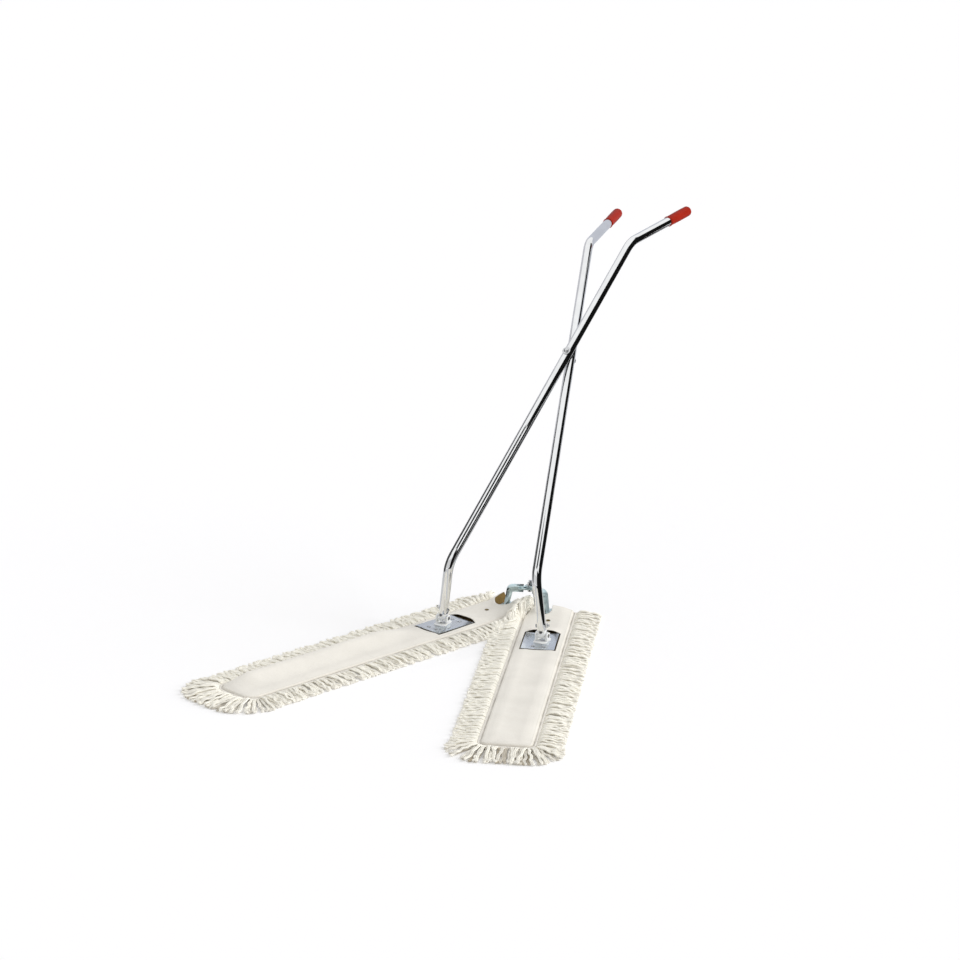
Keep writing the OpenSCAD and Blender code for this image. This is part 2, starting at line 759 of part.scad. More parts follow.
// Outer faces of the two tubes along the bolt
pack_half = scissor_gap/2 + tube_d + soft_gap;

module scissor_bolt() color("silver") at_crossing() {
    front = pack_half + scissor_washer_t;
    back = front + scissor_nut_h + scissor_tail;
    translate([0, 0, -back]) rod(scissor_d, front + back);
    translate([0, 0, front]) round_head(scissor_head_d, scissor_head_h);
}

module scissor_washers() color("gainsboro") at_crossing() {
    spacer = scissor_gap - 2*soft_gap;
    translate([0, 0, pack_half]) ring(scissor_washer_d, scissor_d + 2*run_gap, scissor_washer_t);
    translate([0, 0, -spacer/2]) ring(scissor_washer_d, scissor_d + 2*run_gap, spacer);
    translate([0, 0, -pack_half - scissor_washer_t])
        ring(scissor_washer_d, scissor_d + 2*run_gap, scissor_washer_t);
}

module scissor_nut() color("silver") at_crossing()
    translate([0, 0, -pack_half - scissor_washer_t - scissor_nut_h])
        hex_nut(scissor_nut_d, scissor_d + 2*run_gap, scissor_nut_h);

// Nodes

for (side = SIDES) {
    wire_frame(side);
    saddle_plate(side);
    clamp_straps(side);
    plate_rivets(side);
    swivel_rivet(side);
    yarn_sole(side);
    canvas_cover(side);
    fringe(side);
    press_stud(side);
    hinge_arm(side);
    arm_clamp(side);
    arm_rivets(side);
    yoke(side);
    tilt_pins(side);
    knuckle(side);
    swing_pin(side);
    stem(side);
    handle_tube(side);
    stem_bolt(side);
    stem_nut(side);
    grip(side);
}
hinge_bolt();
hinge_washers();
hinge_nut();
scissor_bolt();
scissor_washers();
scissor_nut();
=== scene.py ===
"""Looks of the two-headed dust mop: canvas covers, cotton yarn, chrome handles, zinc and nylon fittings.

Lengths are in metres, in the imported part's frame: X runs across the V, +Y points back to the user, +Z up.
A place on a mop head is given as (across, along, up): across from the head's centreline, outwards positive,
along from the cover's open end towards its tip.
"""

import json
import math
from types import SimpleNamespace

import bpy
import numpy as np
from bpy.props import FloatProperty, FloatVectorProperty, IntProperty, PointerProperty
from mathutils import Matrix


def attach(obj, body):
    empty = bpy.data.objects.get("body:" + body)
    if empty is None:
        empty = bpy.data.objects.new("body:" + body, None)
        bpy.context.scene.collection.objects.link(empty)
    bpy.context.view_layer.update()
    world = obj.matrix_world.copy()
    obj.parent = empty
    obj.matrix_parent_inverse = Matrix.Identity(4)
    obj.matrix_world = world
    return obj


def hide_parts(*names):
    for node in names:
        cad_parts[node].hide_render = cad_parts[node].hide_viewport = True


bl_info = {
    "name": "Two-headed dust mop",
    "version": (1, 0, 0),
    "blender": (4, 5, 0),
    "location": "3D View > Sidebar > Dust Mop",
    "description": "Dresses the packed dust mop in canvas, yarn, chrome, zinc and nylon",
    "category": "Object",
}

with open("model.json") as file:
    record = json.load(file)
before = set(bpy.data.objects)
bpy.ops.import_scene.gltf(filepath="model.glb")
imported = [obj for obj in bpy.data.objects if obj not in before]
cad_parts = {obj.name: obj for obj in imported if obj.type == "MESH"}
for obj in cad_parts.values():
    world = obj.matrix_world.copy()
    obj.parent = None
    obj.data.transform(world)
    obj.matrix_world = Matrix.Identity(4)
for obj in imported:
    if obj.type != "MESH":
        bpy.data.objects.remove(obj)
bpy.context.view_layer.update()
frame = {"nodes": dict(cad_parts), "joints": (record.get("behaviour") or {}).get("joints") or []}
JOINTS = {joint["name"]: joint for joint in frame["joints"]}
SIDES = {"left": -1.0, "right": 1.0}
FULL_TURN = 2.0 * math.pi
RIGHT_ANGLE = math.pi / 2.0
ROUND = 64

# How far the covers stand up at the mouth, and the share of the puff that each one has
MOUTH_LIFT = {"left": 0.023, "right": 0.013}
PUFF_SHARE = {"left": 1.0, "right": 0.1}

# Band in from the hem that the seams and their painted shade lie in
SEAM_BAND = 0.021

# Yarn by layer, from the lowest: length, tone, what a calm stretch adds to it and what the tip takes off it;
# the tones hold painted shade, darker on the lower layers and near the tip
LAYER_LENGTH = np.array([0.97, 0.95, 1.0])
LAYER_SHADED_TONE = np.array([0.38, 0.66, 0.88])
LAYER_CALM = np.array([0.45, 0.25, 0.05])
LAYER_TIP_SHADE = np.array([0.36, 0.30, 0.0])

# Stretches of the fringe that lie calm
CALM_PARTS = (("left", "outer"), ("right", "inner"))

# Stretch of the hem with the heaped-up loops, how close they stand, and the twist's length along a strand
APEX_RUN, APEX_PITCH = 0.17, 0.3
TWIST = 0.010

# Metal finishes: colour, roughness, its spread, scale of the clouds and depth of the grain
METALS = {
    "bright_chrome": ("chrome", 0.045, 0.015, 30.0, 0.00001),
    "zinc_plate": ("zinc", 0.25, 0.06, 60.0, 0.00006),
    "blue_zinc": ("arm", 0.62, 0.05, 60.0, 0.00006),
    "bright_steel": ("steel", 0.26, 0.06, 120.0, 0.0001),
    "dull_steel": ("pin", 0.38, 0.08, 150.0, 0.0001),
    "stud_brass": ("brass", 0.28, 0.08, 150.0, 0.0001),
}

# Cards of the stage that only show in reflections
DARK = (0.004, 0.004, 0.004)
WHITE_STRIP = np.array([
    [[0.455, -0.552, 0.880], [0.730, -0.378, 0.648]],
    [[0.527, -0.252, 1.185], [0.799, -0.081, 0.956]],
])
DARK_STRIP = np.array([
    [[-0.141, -0.590, 1.069], [0.310, -0.592, 0.955]],
    [[-0.059, -0.290, 1.371], [0.385, -0.292, 1.258]],
])


# Settings that a user would change


def length(name, description, default):
    return FloatProperty(name=name, description=description, default=default, unit="LENGTH", precision=4)


def angle(name, description, degrees):
    return FloatProperty(name=name, description=description, default=math.radians(degrees), unit="ROTATION")


def colour(name, description, default):
    return FloatVectorProperty(name=name, description=description, default=default, subtype="COLOR",
                               size=3, min=0.0, max=1.0)


def amount(name, description, default):
    return FloatProperty(name=name, description=description, default=default)


class HeadSizes(bpy.types.PropertyGroup):
    """Sizes of a mop head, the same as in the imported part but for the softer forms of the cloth."""

    v_angle: angle("V angle", "Angle between the two heads", 36.8)
    offset: length("Head offset", "From the hinge axis to a head's centreline", 0.057)
    start: length("Cover start", "From the hinge axis to the cover's open end", 0.004)
    close_turn: angle("Closing turn", "How far a head turns in from rest when the V is closed most", 5.0)
    inner_gap: length("Inner gap", "Room between the soft parts of the closed heads, on each side", 0.0015)
    cover_length: length("Cover length", "Length of a cover without its fringe", 1.01)
    cover_width: length("Cover width", "Width of a cover across its hems", 0.146)
    tip_radius: length("Tip radius", "Radius of the right cover's tip corners", 0.026)
    left_tip_radius: length("Left tip radius", "Radius of the left cover's tip corners", 0.046)
    hem_width: length("Hem width", "Width of the flat hem outside the pocket", 0.009)
    hem_top: length("Hem height", "Height of the hem's top face", 0.008)
    pocket_top: length("Pocket height", "Height of the pocket over the frame wires", 0.0142)
    base_height: length("Base height", "Height of the base cloth's underside", 0.005)
    cloth: length("Cloth thickness", "Thickness of the canvas", 0.0009)
    wire_gauge: length("Wire gauge", "Distance between the long frame wires", 0.066)
    wire_tip: length("Wire tip", "From the frame's end wire to the cover's tip", 0.024)
    cut_length: length("Cut-out length", "Length of the cut-out round the saddle plate", 0.136)
    cut_width: length("Cut-out width", "Width of the cut-out round the saddle plate", 0.094)
    cut_middle: length("Cut-out place", "From the open end to the middle of the cut-out", 0.2615)
    cut_lift: length("Cut-out lift", "How far the cover stands up at the cut-out's inner edge", 0.006)
    mouth_length: length("Mouth length", "Length of the notch for the hinge arm", 0.056)
    mouth_width: length("Mouth width", "Width of the notch for the hinge arm", 0.058)
    mouth_out: length("Mouth place", "From the head's centreline out to the middle of the notch", 0.003)
    mouth_drawn: length("Mouth drawn in", "How much narrower the right cover's notch lies", 0.026)
    puff: length("Puff", "How far the left cover's outer side is puffed up", 0.016)


class YarnSizes(bpy.types.PropertyGroup):
    """Sizes of the yarn in the fringe and under the heads."""

    thickness: length("Yarn thickness", "Diameter of one strand of yarn", 0.0042)
    side_length: length("Side fringe", "Length of the fringe along the sides", 0.069)
    tip_length: length("Tip fringe", "Length of the fringe at the tip", 0.096)
    pitch: length("Loop pitch", "Distance between loops along the hem", 0.0115)
    layers: IntProperty(name="Layers", description="Layers of loops in the fringe", default=3, min=1)
    mound: length("Mound", "Height of the yarn that is heaped up between the heads at the hinge", 0.046)
    swept: angle("Swept", "How far the left head's outer loops lean back at the open end", 42.0)
    calm: amount("Calm", "How much the tufts stand out on the calm stretches of the fringe", 0.25)
    sole_pitch: length("Sole pitch", "Distance between rows of yarn under a head", 0.008)


class HandleSizes(bpy.types.PropertyGroup):
    """Sizes of the handles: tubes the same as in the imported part, and grips that are a little slimmer."""

    diameter: length("Tube diameter", "Outer diameter of the tubes", 0.025)
    wall: length("Tube wall", "Wall of the tubes", 0.0012)
    slope: angle("Plane slope", "Slope of the plane in which the handles cross", 46.0)
    lower_bend: angle("Lower bend", "Bend near the foot of a handle", 46.2)
    upper_bend: angle("Upper bend", "Bend near the grip", 39.3)
    lower_length: length("Foot length", "From the joint to the lower bend", 0.156)
    main_length: length("Main length", "From the lower bend to the upper bend", 1.038)
    top_length: length("Top length", "From the upper bend to the end of the grip", 0.305)
    bend_radius: length("Bend radius", "Radius of the bends at the tube's middle", 0.07)
    foot: length("Foot start", "From the joint to the open foot of the tube", 0.0135)
    crossing: length("Crossing", "From the joint to the crossing bolt", 0.776)
    gap: length("Crossing gap", "Room between the two tubes at the crossing", 0.002)
    grip_length: length("Grip length", "Length of a grip", 0.110)
    grip_diameter: length("Grip diameter", "Diameter of a grip at its fullest", 0.0287)
    grip_mouth: length("Grip mouth", "Diameter of a grip at its mouth", 0.0273)
    grip_lip: length("Grip lip", "Diameter of the lip at a grip's mouth", 0.0292)
    grip_end: length("Grip end", "Radius of a grip's round end", 0.008)


class MopColours(bpy.types.PropertyGroup):
    """Colours of the finishes."""

    canvas: colour("Canvas", "Unbleached cotton canvas", (0.885, 0.85, 0.785))
    # Painted shade: the dark brown of the pocket's cloths stands in for the shade inside the pocket
    lining: colour("Lining", "Dark inside of the frame pocket", (0.20, 0.125, 0.035))
    yarn: colour("Yarn", "Cotton yarn of the fringe", (0.97, 0.935, 0.85))
    thread: colour("Thread", "Sewing thread", (0.70, 0.655, 0.58))
    grip: colour("Grip", "Moulded grips", (0.35, 0.014, 0.002))
    chrome: colour("Chrome", "Bright plated tubes", (0.86, 0.87, 0.88))
    zinc: colour("Zinc", "Zinc plated plates", (0.74, 0.79, 0.84))
    arm: colour("Arms", "Blue zinc plate of the hinge arms", (0.80, 0.94, 0.97))
    steel: colour("Steel", "Bolts, nuts and washers", (0.66, 0.67, 0.68))
    pin: colour("Pin", "Joint pins", (0.30, 0.30, 0.31))
    nylon: colour("Nylon", "Milky nylon of the joints", (0.90, 0.91, 0.90))
    brass: colour("Brass", "Press studs", (0.20, 0.145, 0.05))


class StudioSettings(bpy.types.PropertyGroup):
    """Camera and light."""

    camera: FloatVectorProperty(name="Camera place", description="Where the camera stands",
                                default=(3.2805, -7.1105, 2.7241), subtype="TRANSLATION", size=3)
    yaw: angle("Yaw", "Turn of the view from +Y towards +X", -25.352)
    pitch: angle("Pitch", "How far the view points down", 16.519)
    roll: angle("Roll", "Turn of the camera about its view", 1.136)
    lens: amount("Lens", "Focal length in mm on a 36 mm wide sensor", 117.9)
    sky: amount("Sky", "Strength of the white surroundings", 0.69)
    key: amount("Key light", "Strength of the soft light from behind", 2.0)
    key_spread: angle("Key spread", "How broad the light looks from the mop", 50.0)
    key_tilt: angle("Key tilt", "Turn of the light from straight above", 64.0)
    key_turn: angle("Key turn", "Turn of the tilted light about the vertical", 122.0)


# Shared shapes


def smooth(x):
    """Smooth step: 0 below 0, 1 above 1, and 3x^2 - 2x^3 between."""
    t = np.clip(x, 0.0, 1.0)
    return t * t * (3.0 - 2.0 * t)


def bell(x, width):
    """Bell curve exp(-(x/width)^2)."""
    return np.exp(-((x / width) ** 2))


def divided(breaks, step):
    """Rising places from the first break to the last, through all of them, at most a step apart."""
    parts = []
    for first, last in zip(breaks, breaks[1:]):
        count = max(1, math.ceil((last - first) / step - 1e-6))
        parts.append(np.linspace(first, last, count + 1)[:-1])
    return np.concatenate([*parts, breaks[-1:]])


def ripples(seed, across, along, waves):
    """Sum of plane sine waves, one for each (wavelength, height), with seeded directions and phases."""
    draw = np.random.default_rng(seed)
    total = 0.0
    for wavelength, height in waves:
        turn, phase = draw.uniform(0.0, FULL_TURN, 2)
        place = across * math.cos(turn) + along * math.sin(turn)
        total = total + height * np.sin(FULL_TURN * place / wavelength + phase)
    return total


def grid_faces(rows, columns, wrap=False):
    """Corners of the faces between the points of a grid; wrap joins its last column to its first."""
    row = np.arange(rows - 1)[:, None] * columns
    column = np.arange(columns if wrap else columns - 1)[None, :]
    after = (column + 1) % columns
    corners = [row + column, row + after, row + columns + after, row + columns + column]
    return np.stack(np.broadcast_arrays(*corners), -1).reshape(-1, 4)


def tube_faces(count, rings, sides):
    """Faces of many tubes of the same number of rings, with both ends closed by fans of four-sided faces."""
    wall = grid_faces(rings, sides, wrap=True)
    step = np.arange(0, sides - 2, 2)[:, None]
    cap = np.concatenate([0 * step, step + 1, step + 2, np.minimum(step + 3, sides - 1)], 1)
    end = cap[:, ::-1] + (rings - 1) * sides
    one = np.concatenate([wall[:, ::-1], cap, end])
    return (one[None] + (np.arange(count) * rings * sides)[:, None, None]).reshape(-1, 4)


def add_piece(name, points, faces, material, uv=None, flip=False):
    """Puts whole arrays of points and four-sided faces into a new smooth mesh object at the origin."""
    points = np.asarray(points, np.float32).reshape(-1, 3)
    faces = faces[:, ::-1] if flip else faces
    used, faces = np.unique(faces, return_inverse=True)
    faces = faces.reshape(-1, 4).astype(np.int32)
    mesh = bpy.data.meshes.new(name)
    mesh.vertices.add(len(used))
    mesh.vertices.foreach_set("co", points[used].ravel())
    mesh.loops.add(faces.size)
    mesh.loops.foreach_set("vertex_index", faces.ravel())
    mesh.polygons.add(len(faces))
    mesh.polygons.foreach_set("loop_start", np.arange(0, faces.size, 4, dtype=np.int32))
    mesh.update(calc_edges=True)
    mesh.polygons.foreach_set("use_smooth", np.ones(len(faces), bool))
    if uv is not None:
        corner_uv = np.asarray(uv, np.float32).reshape(-1, 2)[used][faces.ravel()]
        mesh.uv_layers.new(name="UVMap").uv.foreach_set("vector", corner_uv.ravel())
    mesh.materials.append(material)
    piece = bpy.data.objects.new(name, mesh)
    bpy.context.scene.collection.objects.link(piece)
    return piece


def point_values(piece, name, values):
    """Stores one number for each point of a piece."""
    stored = piece.data.attributes.new(name, "FLOAT", "POINT")
    stored.data.foreach_set("value", np.asarray(values, np.float32).ravel())


def turn_x(a):
    return np.array([[1, 0, 0], [0, math.cos(a), -math.sin(a)], [0, math.sin(a), math.cos(a)]])


def turn_z(a):
    return np.array([[math.cos(a), -math.sin(a), 0], [math.sin(a), math.cos(a), 0], [0, 0, 1]])


# Places on a mop head


def one_head(scene, side):
    """Sizes of one head: the left cover's tip is the rounder one."""
    head = SimpleNamespace(**{key: getattr(scene.mop_head, key) for key in HeadSizes.__annotations__})
    if side == "left":
        head.tip_radius = head.left_tip_radius
    return head


def drawn_out(head, along):
    """How far the inner hem is drawn outwards near the hinge, to stay clear of the other head."""
    slope = math.tan(head.v_angle / 2.0 - head.close_turn)
    edge = head.inner_gap - head.offset - (head.start + along) * slope
    return np.maximum(edge + head.cover_width / 2.0, 0.0)


def on_head(head, side, across, along, up):
    """Head places to the frame: the head is turned by half the V about the hinge axis, the left one mirrored.

    Near the hinge the inner half of the cover is pressed together, and what lies past its hem moves with it.
    """
    half = head.v_angle / 2.0
    x = head.offset + across + drawn_out(head, along) * np.clip(-across / (head.cover_width / 2.0), 0.0, 1.0)
    y = -(head.start + along)
    hinge_y = JOINTS["v_hinge"]["pos_m"][1]
    points = [
        SIDES[side] * (x * math.cos(half) - y * math.sin(half)),
        hinge_y + x * math.sin(half) + y * math.cos(half),
        up,
    ]
    return np.stack(np.broadcast_arrays(*points), -1)


def straight_length(head):
    """Length of a cover's straight sides, up to its tip corners."""
    return head.cover_length - head.tip_radius


def tip_rows(head, count, short=0.0):
    """Places along the head of rows round its tip, spaced like points on a quarter circle."""
    turn = np.linspace(0.0, RIGHT_ANGLE, count)[1:]
    return straight_length(head) + (head.tip_radius - short) * np.sin(turn)


def drawn_in(head, along):
    """How far each side of the outline is drawn in by the round of the tip corners."""
    past = np.maximum(along - straight_length(head), 0.0)
    return head.tip_radius - np.sqrt(np.maximum(head.tip_radius**2 - past**2, 0.0))


def inside_distance(head, across, along):
    """Distance inwards from the hem, whose outline is a long box with two rounded tip corners."""
    past_side = np.abs(across) - (head.cover_width / 2.0 - head.tip_radius)
    past_tip = along - straight_length(head)
    corner = np.hypot(np.maximum(past_side, 0.0), np.maximum(past_tip, 0.0))
    return head.tip_radius - corner - np.minimum(np.maximum(past_side, past_tip), 0.0)


def hem_path(head, run, inset, reach):
    """Points and outward directions along the hem, inset from it.

    The path starts at the open end on the outer side, goes round the tip and back along the inner side. Its
    run is measured a reach outside the hem, so that what spreads at the corners keeps its spacing out there.
    """
    half = head.cover_width / 2.0
    radius = head.tip_radius
    straight = straight_length(head)
    total = hem_run(head, reach)
    folded = np.minimum(run, total - run)
    mirror = np.where(run <= total / 2.0, 1.0, -1.0)
    turn = np.clip((folded - straight) / (radius + reach), 0.0, RIGHT_ANGLE)
    past = np.maximum(folded - straight - (radius + reach) * RIGHT_ANGLE, 0.0)
    across = half - radius + (radius - inset) * np.cos(turn) - past
    along = np.minimum(folded, straight) + (radius - inset) * np.sin(turn)
    return mirror * across, along, mirror * np.cos(turn), np.sin(turn)


def hem_run(head, reach):
    """Whole length of the path along the hem, measured a reach outside it."""
    tip = head.cover_width - 2.0 * head.tip_radius
    return 2.0 * straight_length(head) + math.pi * (head.tip_radius + reach) + tip


def cut_ends(head):
    """Where along the head the cut-out round the saddle plate starts and ends."""
    return head.cut_middle - head.cut_length / 2.0, head.cut_middle + head.cut_length / 2.0


def mouth_edges(head, side):
    """Inner and outer edge of the notch for the hinge arm, measured across the head."""
    half = head.mouth_width / 2.0
    drawn = head.mouth_drawn if side == "right" else 0.0
    return head.mouth_out - half, head.mouth_out + half - drawn


def cover_height(head, side, across, along):
    """Height of the cover's top face.

    The hem lies low and dips at its edge. A crease parts it from the pocket, which rises over the frame's
    wires, sinks a little between them and has soft folds.
    """
    hem_dip, hem_edge = 0.0020, 0.004
    wall_run, shoulder_run, wall_share = 0.005, 0.024, 0.62
    crease_depth, crease_width = 0.0011, 0.0016
    ridge_height, ridge_width = 0.0006, 0.010
    sag_depth, sag_run, slack = 0.0007, 0.03, 0.0008
    waves = [(0.31, 0.00035), (0.17, 0.0003), (0.095, 0.00025), (0.06, 0.00012)]
    inside = inside_distance(head, across, along)
    past_hem = inside - head.hem_width
    hem = head.hem_top - hem_dip * (1.0 - smooth(inside / hem_edge))
    wall = smooth(past_hem / wall_run)
    rise = wall_share * wall + (1.0 - wall_share) * smooth(past_hem / shoulder_run)
    crease = crease_depth * bell(past_hem, crease_width)
    past_tip = along - (head.cover_length - head.wire_tip)
    wire_off = np.maximum(np.abs(across) - head.wire_gauge / 2.0, past_tip)
    ridge = ridge_height * bell(wire_off, ridge_width)
    sag = sag_depth * smooth((inside - (head.cover_width - head.wire_gauge) / 2.0) / sag_run)
    folds = ripples(3 if side == "left" else 4, across, along, waves)
    pocket = head.pocket_top - head.hem_top - slack + ridge - sag + folds
    stands = edge_lift(head, side, across, along, past_hem) * wall
    return hem + rise * pocket - crease + stands + puffed_up(head, side, across, along, past_hem)


def edge_lift(head, side, across, along, past_hem):
    """How far the cover stands up along the cut-out's inner edge and round the mouth."""
    cut_fade, cut_edge, mouth_fade, lip_run = 0.030, 0.01, 0.055, 0.034
    start = cut_ends(head)[0]
    bow = smooth(1.0 - (across / (head.cut_width / 2.0)) ** 2)
    fade = bell(np.maximum(start - along, 0.0), cut_fade) * (along < start + cut_edge)
    cut = head.cut_lift * bow * fade
    middle = sum(mouth_edges(head, side)) / 2.0
    sides = bell(across - middle, mouth_fade)
    if side == "left":
        sides = np.where(across > middle, smooth(past_hem / lip_run), sides)
    return cut + MOUTH_LIFT[side] * sides * bell(along, mouth_fade)


def puffed_up(head, side, across, along, past_hem):
    """How far the cover is puffed up on its outer side, between the cut-out and the tip."""
    first, first_run, last, last_run = 0.34, 0.14, 0.01, 0.10
    inner_edge, slope_run, hem_fade = -0.030, 0.075, 0.014
    middle = smooth((along - first) / first_run) * smooth((head.cover_length - last - along) / last_run)
    sloped = smooth((across - inner_edge) / slope_run) * smooth(past_hem / hem_fade)
    return PUFF_SHARE[side] * head.puff * sloped * middle


# Materials


def new_material(name, base, roughness, metallic=0.0):
    """A material with one Principled shader, whose plain numbers are set on its own sockets."""
    material = bpy.data.materials.new(name)
    material.use_nodes = True
    shader = material.node_tree.nodes["Principled BSDF"]
    shader.inputs["Base Color"].default_value = (*base, 1.0)
    shader.inputs["Roughness"].default_value = roughness
    shader.inputs["Metallic"].default_value = metallic
    return material, shader


def add_node(material, kind, inputs=None, **settings):
    """Adds a node, with plain values for its inputs and settings."""
    node = material.node_tree.nodes.new(kind)
    for name, value in settings.items():
        setattr(node, name, value)
    for name, value in (inputs or {}).items():
        node.inputs[name].default_value = value
    return node


def join(material, source, socket, target, name):
    """Links a node's output to another node's input."""
    material.node_tree.links.new(source.outputs[socket], target.inputs[name])


def coordinates(material, which, scale=(1.0, 1.0, 1.0)):
    """Object or UV coordinates, scaled."""
    place = add_node(material, "ShaderNodeTexCoord")
    mapping = add_node(material, "ShaderNodeMapping", {"Scale": scale})
    join(material, place, which, mapping, "Vector")
    return mapping


def noise(material, mapping, scale, detail):
    """Noise of a scale and detail over the given coordinates."""
    node = add_node(material, "ShaderNodeTexNoise", {"Scale": scale, "Detail": detail, "Roughness": 0.55})
    join(material, mapping, "Vector", node, "Vector")
    return node


def ramp(material, source, stops):
    """Colour ramp through (place, colour) stops, led by a node's factor."""
    node = add_node(material, "ShaderNodeValToRGB")
    elements = node.color_ramp.elements
    while len(elements) < len(stops):
        elements.new(0.5)
    for element, (place, shade) in zip(elements, stops):
        element.position = place
        element.color = (*shade, 1.0)
    join(material, source, "Fac", node, "Fac")
    return node


def shades(base, *factors):
    """Darker and paler shades of a colour."""
    return [tuple(min(1.0, c * f) for c in base) for f in factors]


def tinted(material, shader, source, base, low, high):
    """Colours the shader by a noise, from a darker to a paler shade of its base."""
    tone = ramp(material, source, list(zip((0.3, 0.7), shades(base, low, high))))
    join(material, tone, "Color", shader, "Base Color")


def roughened(material, shader, source, low, high):
    """Lets the shader's roughness drift with a noise."""
    drift = add_node(material, "ShaderNodeMapRange", {"To Min": low, "To Max": high})
    join(material, source, "Fac", drift, "Value")
    join(material, drift, "Result", shader, "Roughness")


def bumped(material, shader, source, socket, strength, distance):
    """Drives the shader's normal from a height."""
    node = add_node(material, "ShaderNodeBump", {"Strength": strength, "Distance": distance})
    join(material, source, socket, node, "Height")
    join(material, node, "Normal", shader, "Normal")


def canvas_material(colours):
    """Plain-weave cotton canvas: crossing threads in the weave, slubs, a faint drift of colour and painted
    shade along the seams.
    """
    material, shader = new_material("cotton_canvas", colours.canvas, 0.9)
    shader.inputs["Sheen Weight"].default_value = 0.15
    shader.inputs["Sheen Roughness"].default_value = 0.5
    cloth = coordinates(material, "UV")
    threads = []
    for direction in ("X", "Y"):
        wave = add_node(material, "ShaderNodeTexWave", {"Scale": 240.0, "Distortion": 0.6, "Detail": 1.0},
                        wave_type="BANDS", bands_direction=direction)
        join(material, cloth, "Vector", wave, "Vector")
        threads.append(wave)
    weave = add_node(material, "ShaderNodeMath", operation="MULTIPLY")
    join(material, threads[0], "Fac", weave, 0)
    join(material, threads[1], "Fac", weave, 1)
    bumped(material, shader, weave, "Value", 0.35, 0.0004)
    place = coordinates(material, "Object")
    drift = noise(material, place, 9.0, 4.0)
    low, middle, high = shades(colours.canvas, 0.94, 1.0, 1.03)
    tone = ramp(material, drift, [(0.30, low), (0.55, middle), (0.75, high)])
    slubs = noise(material, coordinates(material, "UV", (900.0, 140.0, 1.0)), 1.0, 2.0)
    fine = ramp(material, slubs, [(0.35, (0.95, 0.945, 0.93)), (0.6, (1.0, 1.0, 1.0))])
    unshaded = multiplied(material, tone, "Color", fine)
    # Painted shade along the seams, whose strength drifts with a noise
    shown = add_node(material, "ShaderNodeMapRange", {"From Min": 0.40, "From Max": 0.58, "To Min": 0.45})
    join(material, noise(material, place, 16.0, 2.0), "Fac", shown, "Value")
    seam_shaded = multiplied(material, unshaded, "Result", seam_painted_shade(material))
    join(material, shown, "Result", seam_shaded, "Factor")
    join(material, seam_shaded, "Result", shader, "Base Color")
    return material


def seam_painted_shade(material):
    """Painted shade along the seams: darkest in the crease beside the hem, with a faint darker line further
    in.
    """
    inside = add_node(material, "ShaderNodeAttribute", attribute_name="inside_share")
    unshaded, crease, pale = (1.0, 1.0, 1.0), (0.50, 0.485, 0.46), (0.98, 0.98, 0.975)
    return ramp(material, inside, [
        (0.36, unshaded),
        (0.41, crease),
        (0.45, crease),
        (0.50, (0.86, 0.85, 0.82)),
        (0.62, (0.97, 0.97, 0.965)),
        (0.72, pale),
        (0.755, (0.80, 0.785, 0.74)),
        (0.79, pale),
    ])


def multiplied(material, first, socket, second):
    """Product of two colours."""
    mixed = add_node(material, "ShaderNodeMix", {"Factor": 1.0}, data_type="RGBA", blend_type="MULTIPLY")
    join(material, first, socket, mixed, "A")
    join(material, second, "Color", mixed, "B")
    return mixed


def pocket_shade_material(colours):
    """Dark brown colour for the frame pocket's cloths: painted shade for the inside of the pocket."""
    material, shader = new_material("pocket_lining", colours.lining, 0.95)
    weave = noise(material, coordinates(material, "Object"), 700.0, 2.0)
    tinted(material, shader, weave, colours.lining, 0.7, 1.3)
    bumped(material, shader, weave, "Fac", 0.3, 0.0004)
    return material


def yarn_material(colours):
    """Plied cotton yarn: twisted plies along each strand, each strand with a tone of its own and painted
    shade by layer.
    """
    material, shader = new_material("plied_yarn", colours.yarn, 0.95)
    shader.inputs["Sheen Weight"].default_value = 0.25
    shader.inputs["Sheen Roughness"].default_value = 0.6
    strand = coordinates(material, "UV")
    plies = add_node(material, "ShaderNodeTexWave", {"Scale": 0.314, "Distortion": 0.4, "Detail": 1.0},
                     wave_type="BANDS", bands_direction="DIAGONAL")
    join(material, strand, "Vector", plies, "Vector")
    bumped(material, shader, plies, "Fac", 0.45, 0.0006)
    tone = add_node(material, "ShaderNodeAttribute", attribute_name="strand_tone")
    # Painted shade: the lowest tones go deep brown, for the shade between strands and layers
    deep_shade = tuple(c * f for c, f in zip(colours.yarn, (0.42, 0.36, 0.265)))
    low, middle, high = shades(colours.yarn, 0.80, 0.95, 1.04)
    own = ramp(material, tone, [(0.0, deep_shade), (0.30, low), (0.55, middle), (1.0, high)])
    fuzz = noise(material, coordinates(material, "Object"), 260.0, 3.0)
    fibres = ramp(material, fuzz, [(0.3, (0.92, 0.91, 0.88)), (0.6, (1.0, 1.0, 1.0))])
    mixed = multiplied(material, own, "Color", fibres)
    join(material, mixed, "Result", shader, "Base Color")
    return material


def thread_material(colours):
    """Cotton sewing thread."""
    material, shader = new_material("sewing_thread", colours.thread, 0.8)
    fuzz = noise(material, coordinates(material, "Object"), 900.0, 2.0)
    tinted(material, shader, fuzz, colours.thread, 0.8, 1.1)
    return material


def metal_material(name, base, roughness, spread, grain, relief):
    """Plated metal: a drifting roughness, faint clouds of colour and a fine grain."""
    material, shader = new_material(name, base, roughness, 1.0)
    place = coordinates(material, "Object")
    clouds = noise(material, place, grain, 4.0)
    tinted(material, shader, clouds, base, 0.93, 1.04)
    roughened(material, shader, clouds, roughness - spread, roughness + spread)
    fine = noise(material, place, grain * 12.0, 2.0)
    bumped(material, shader, fine, "Fac", 0.25, relief)
    return material


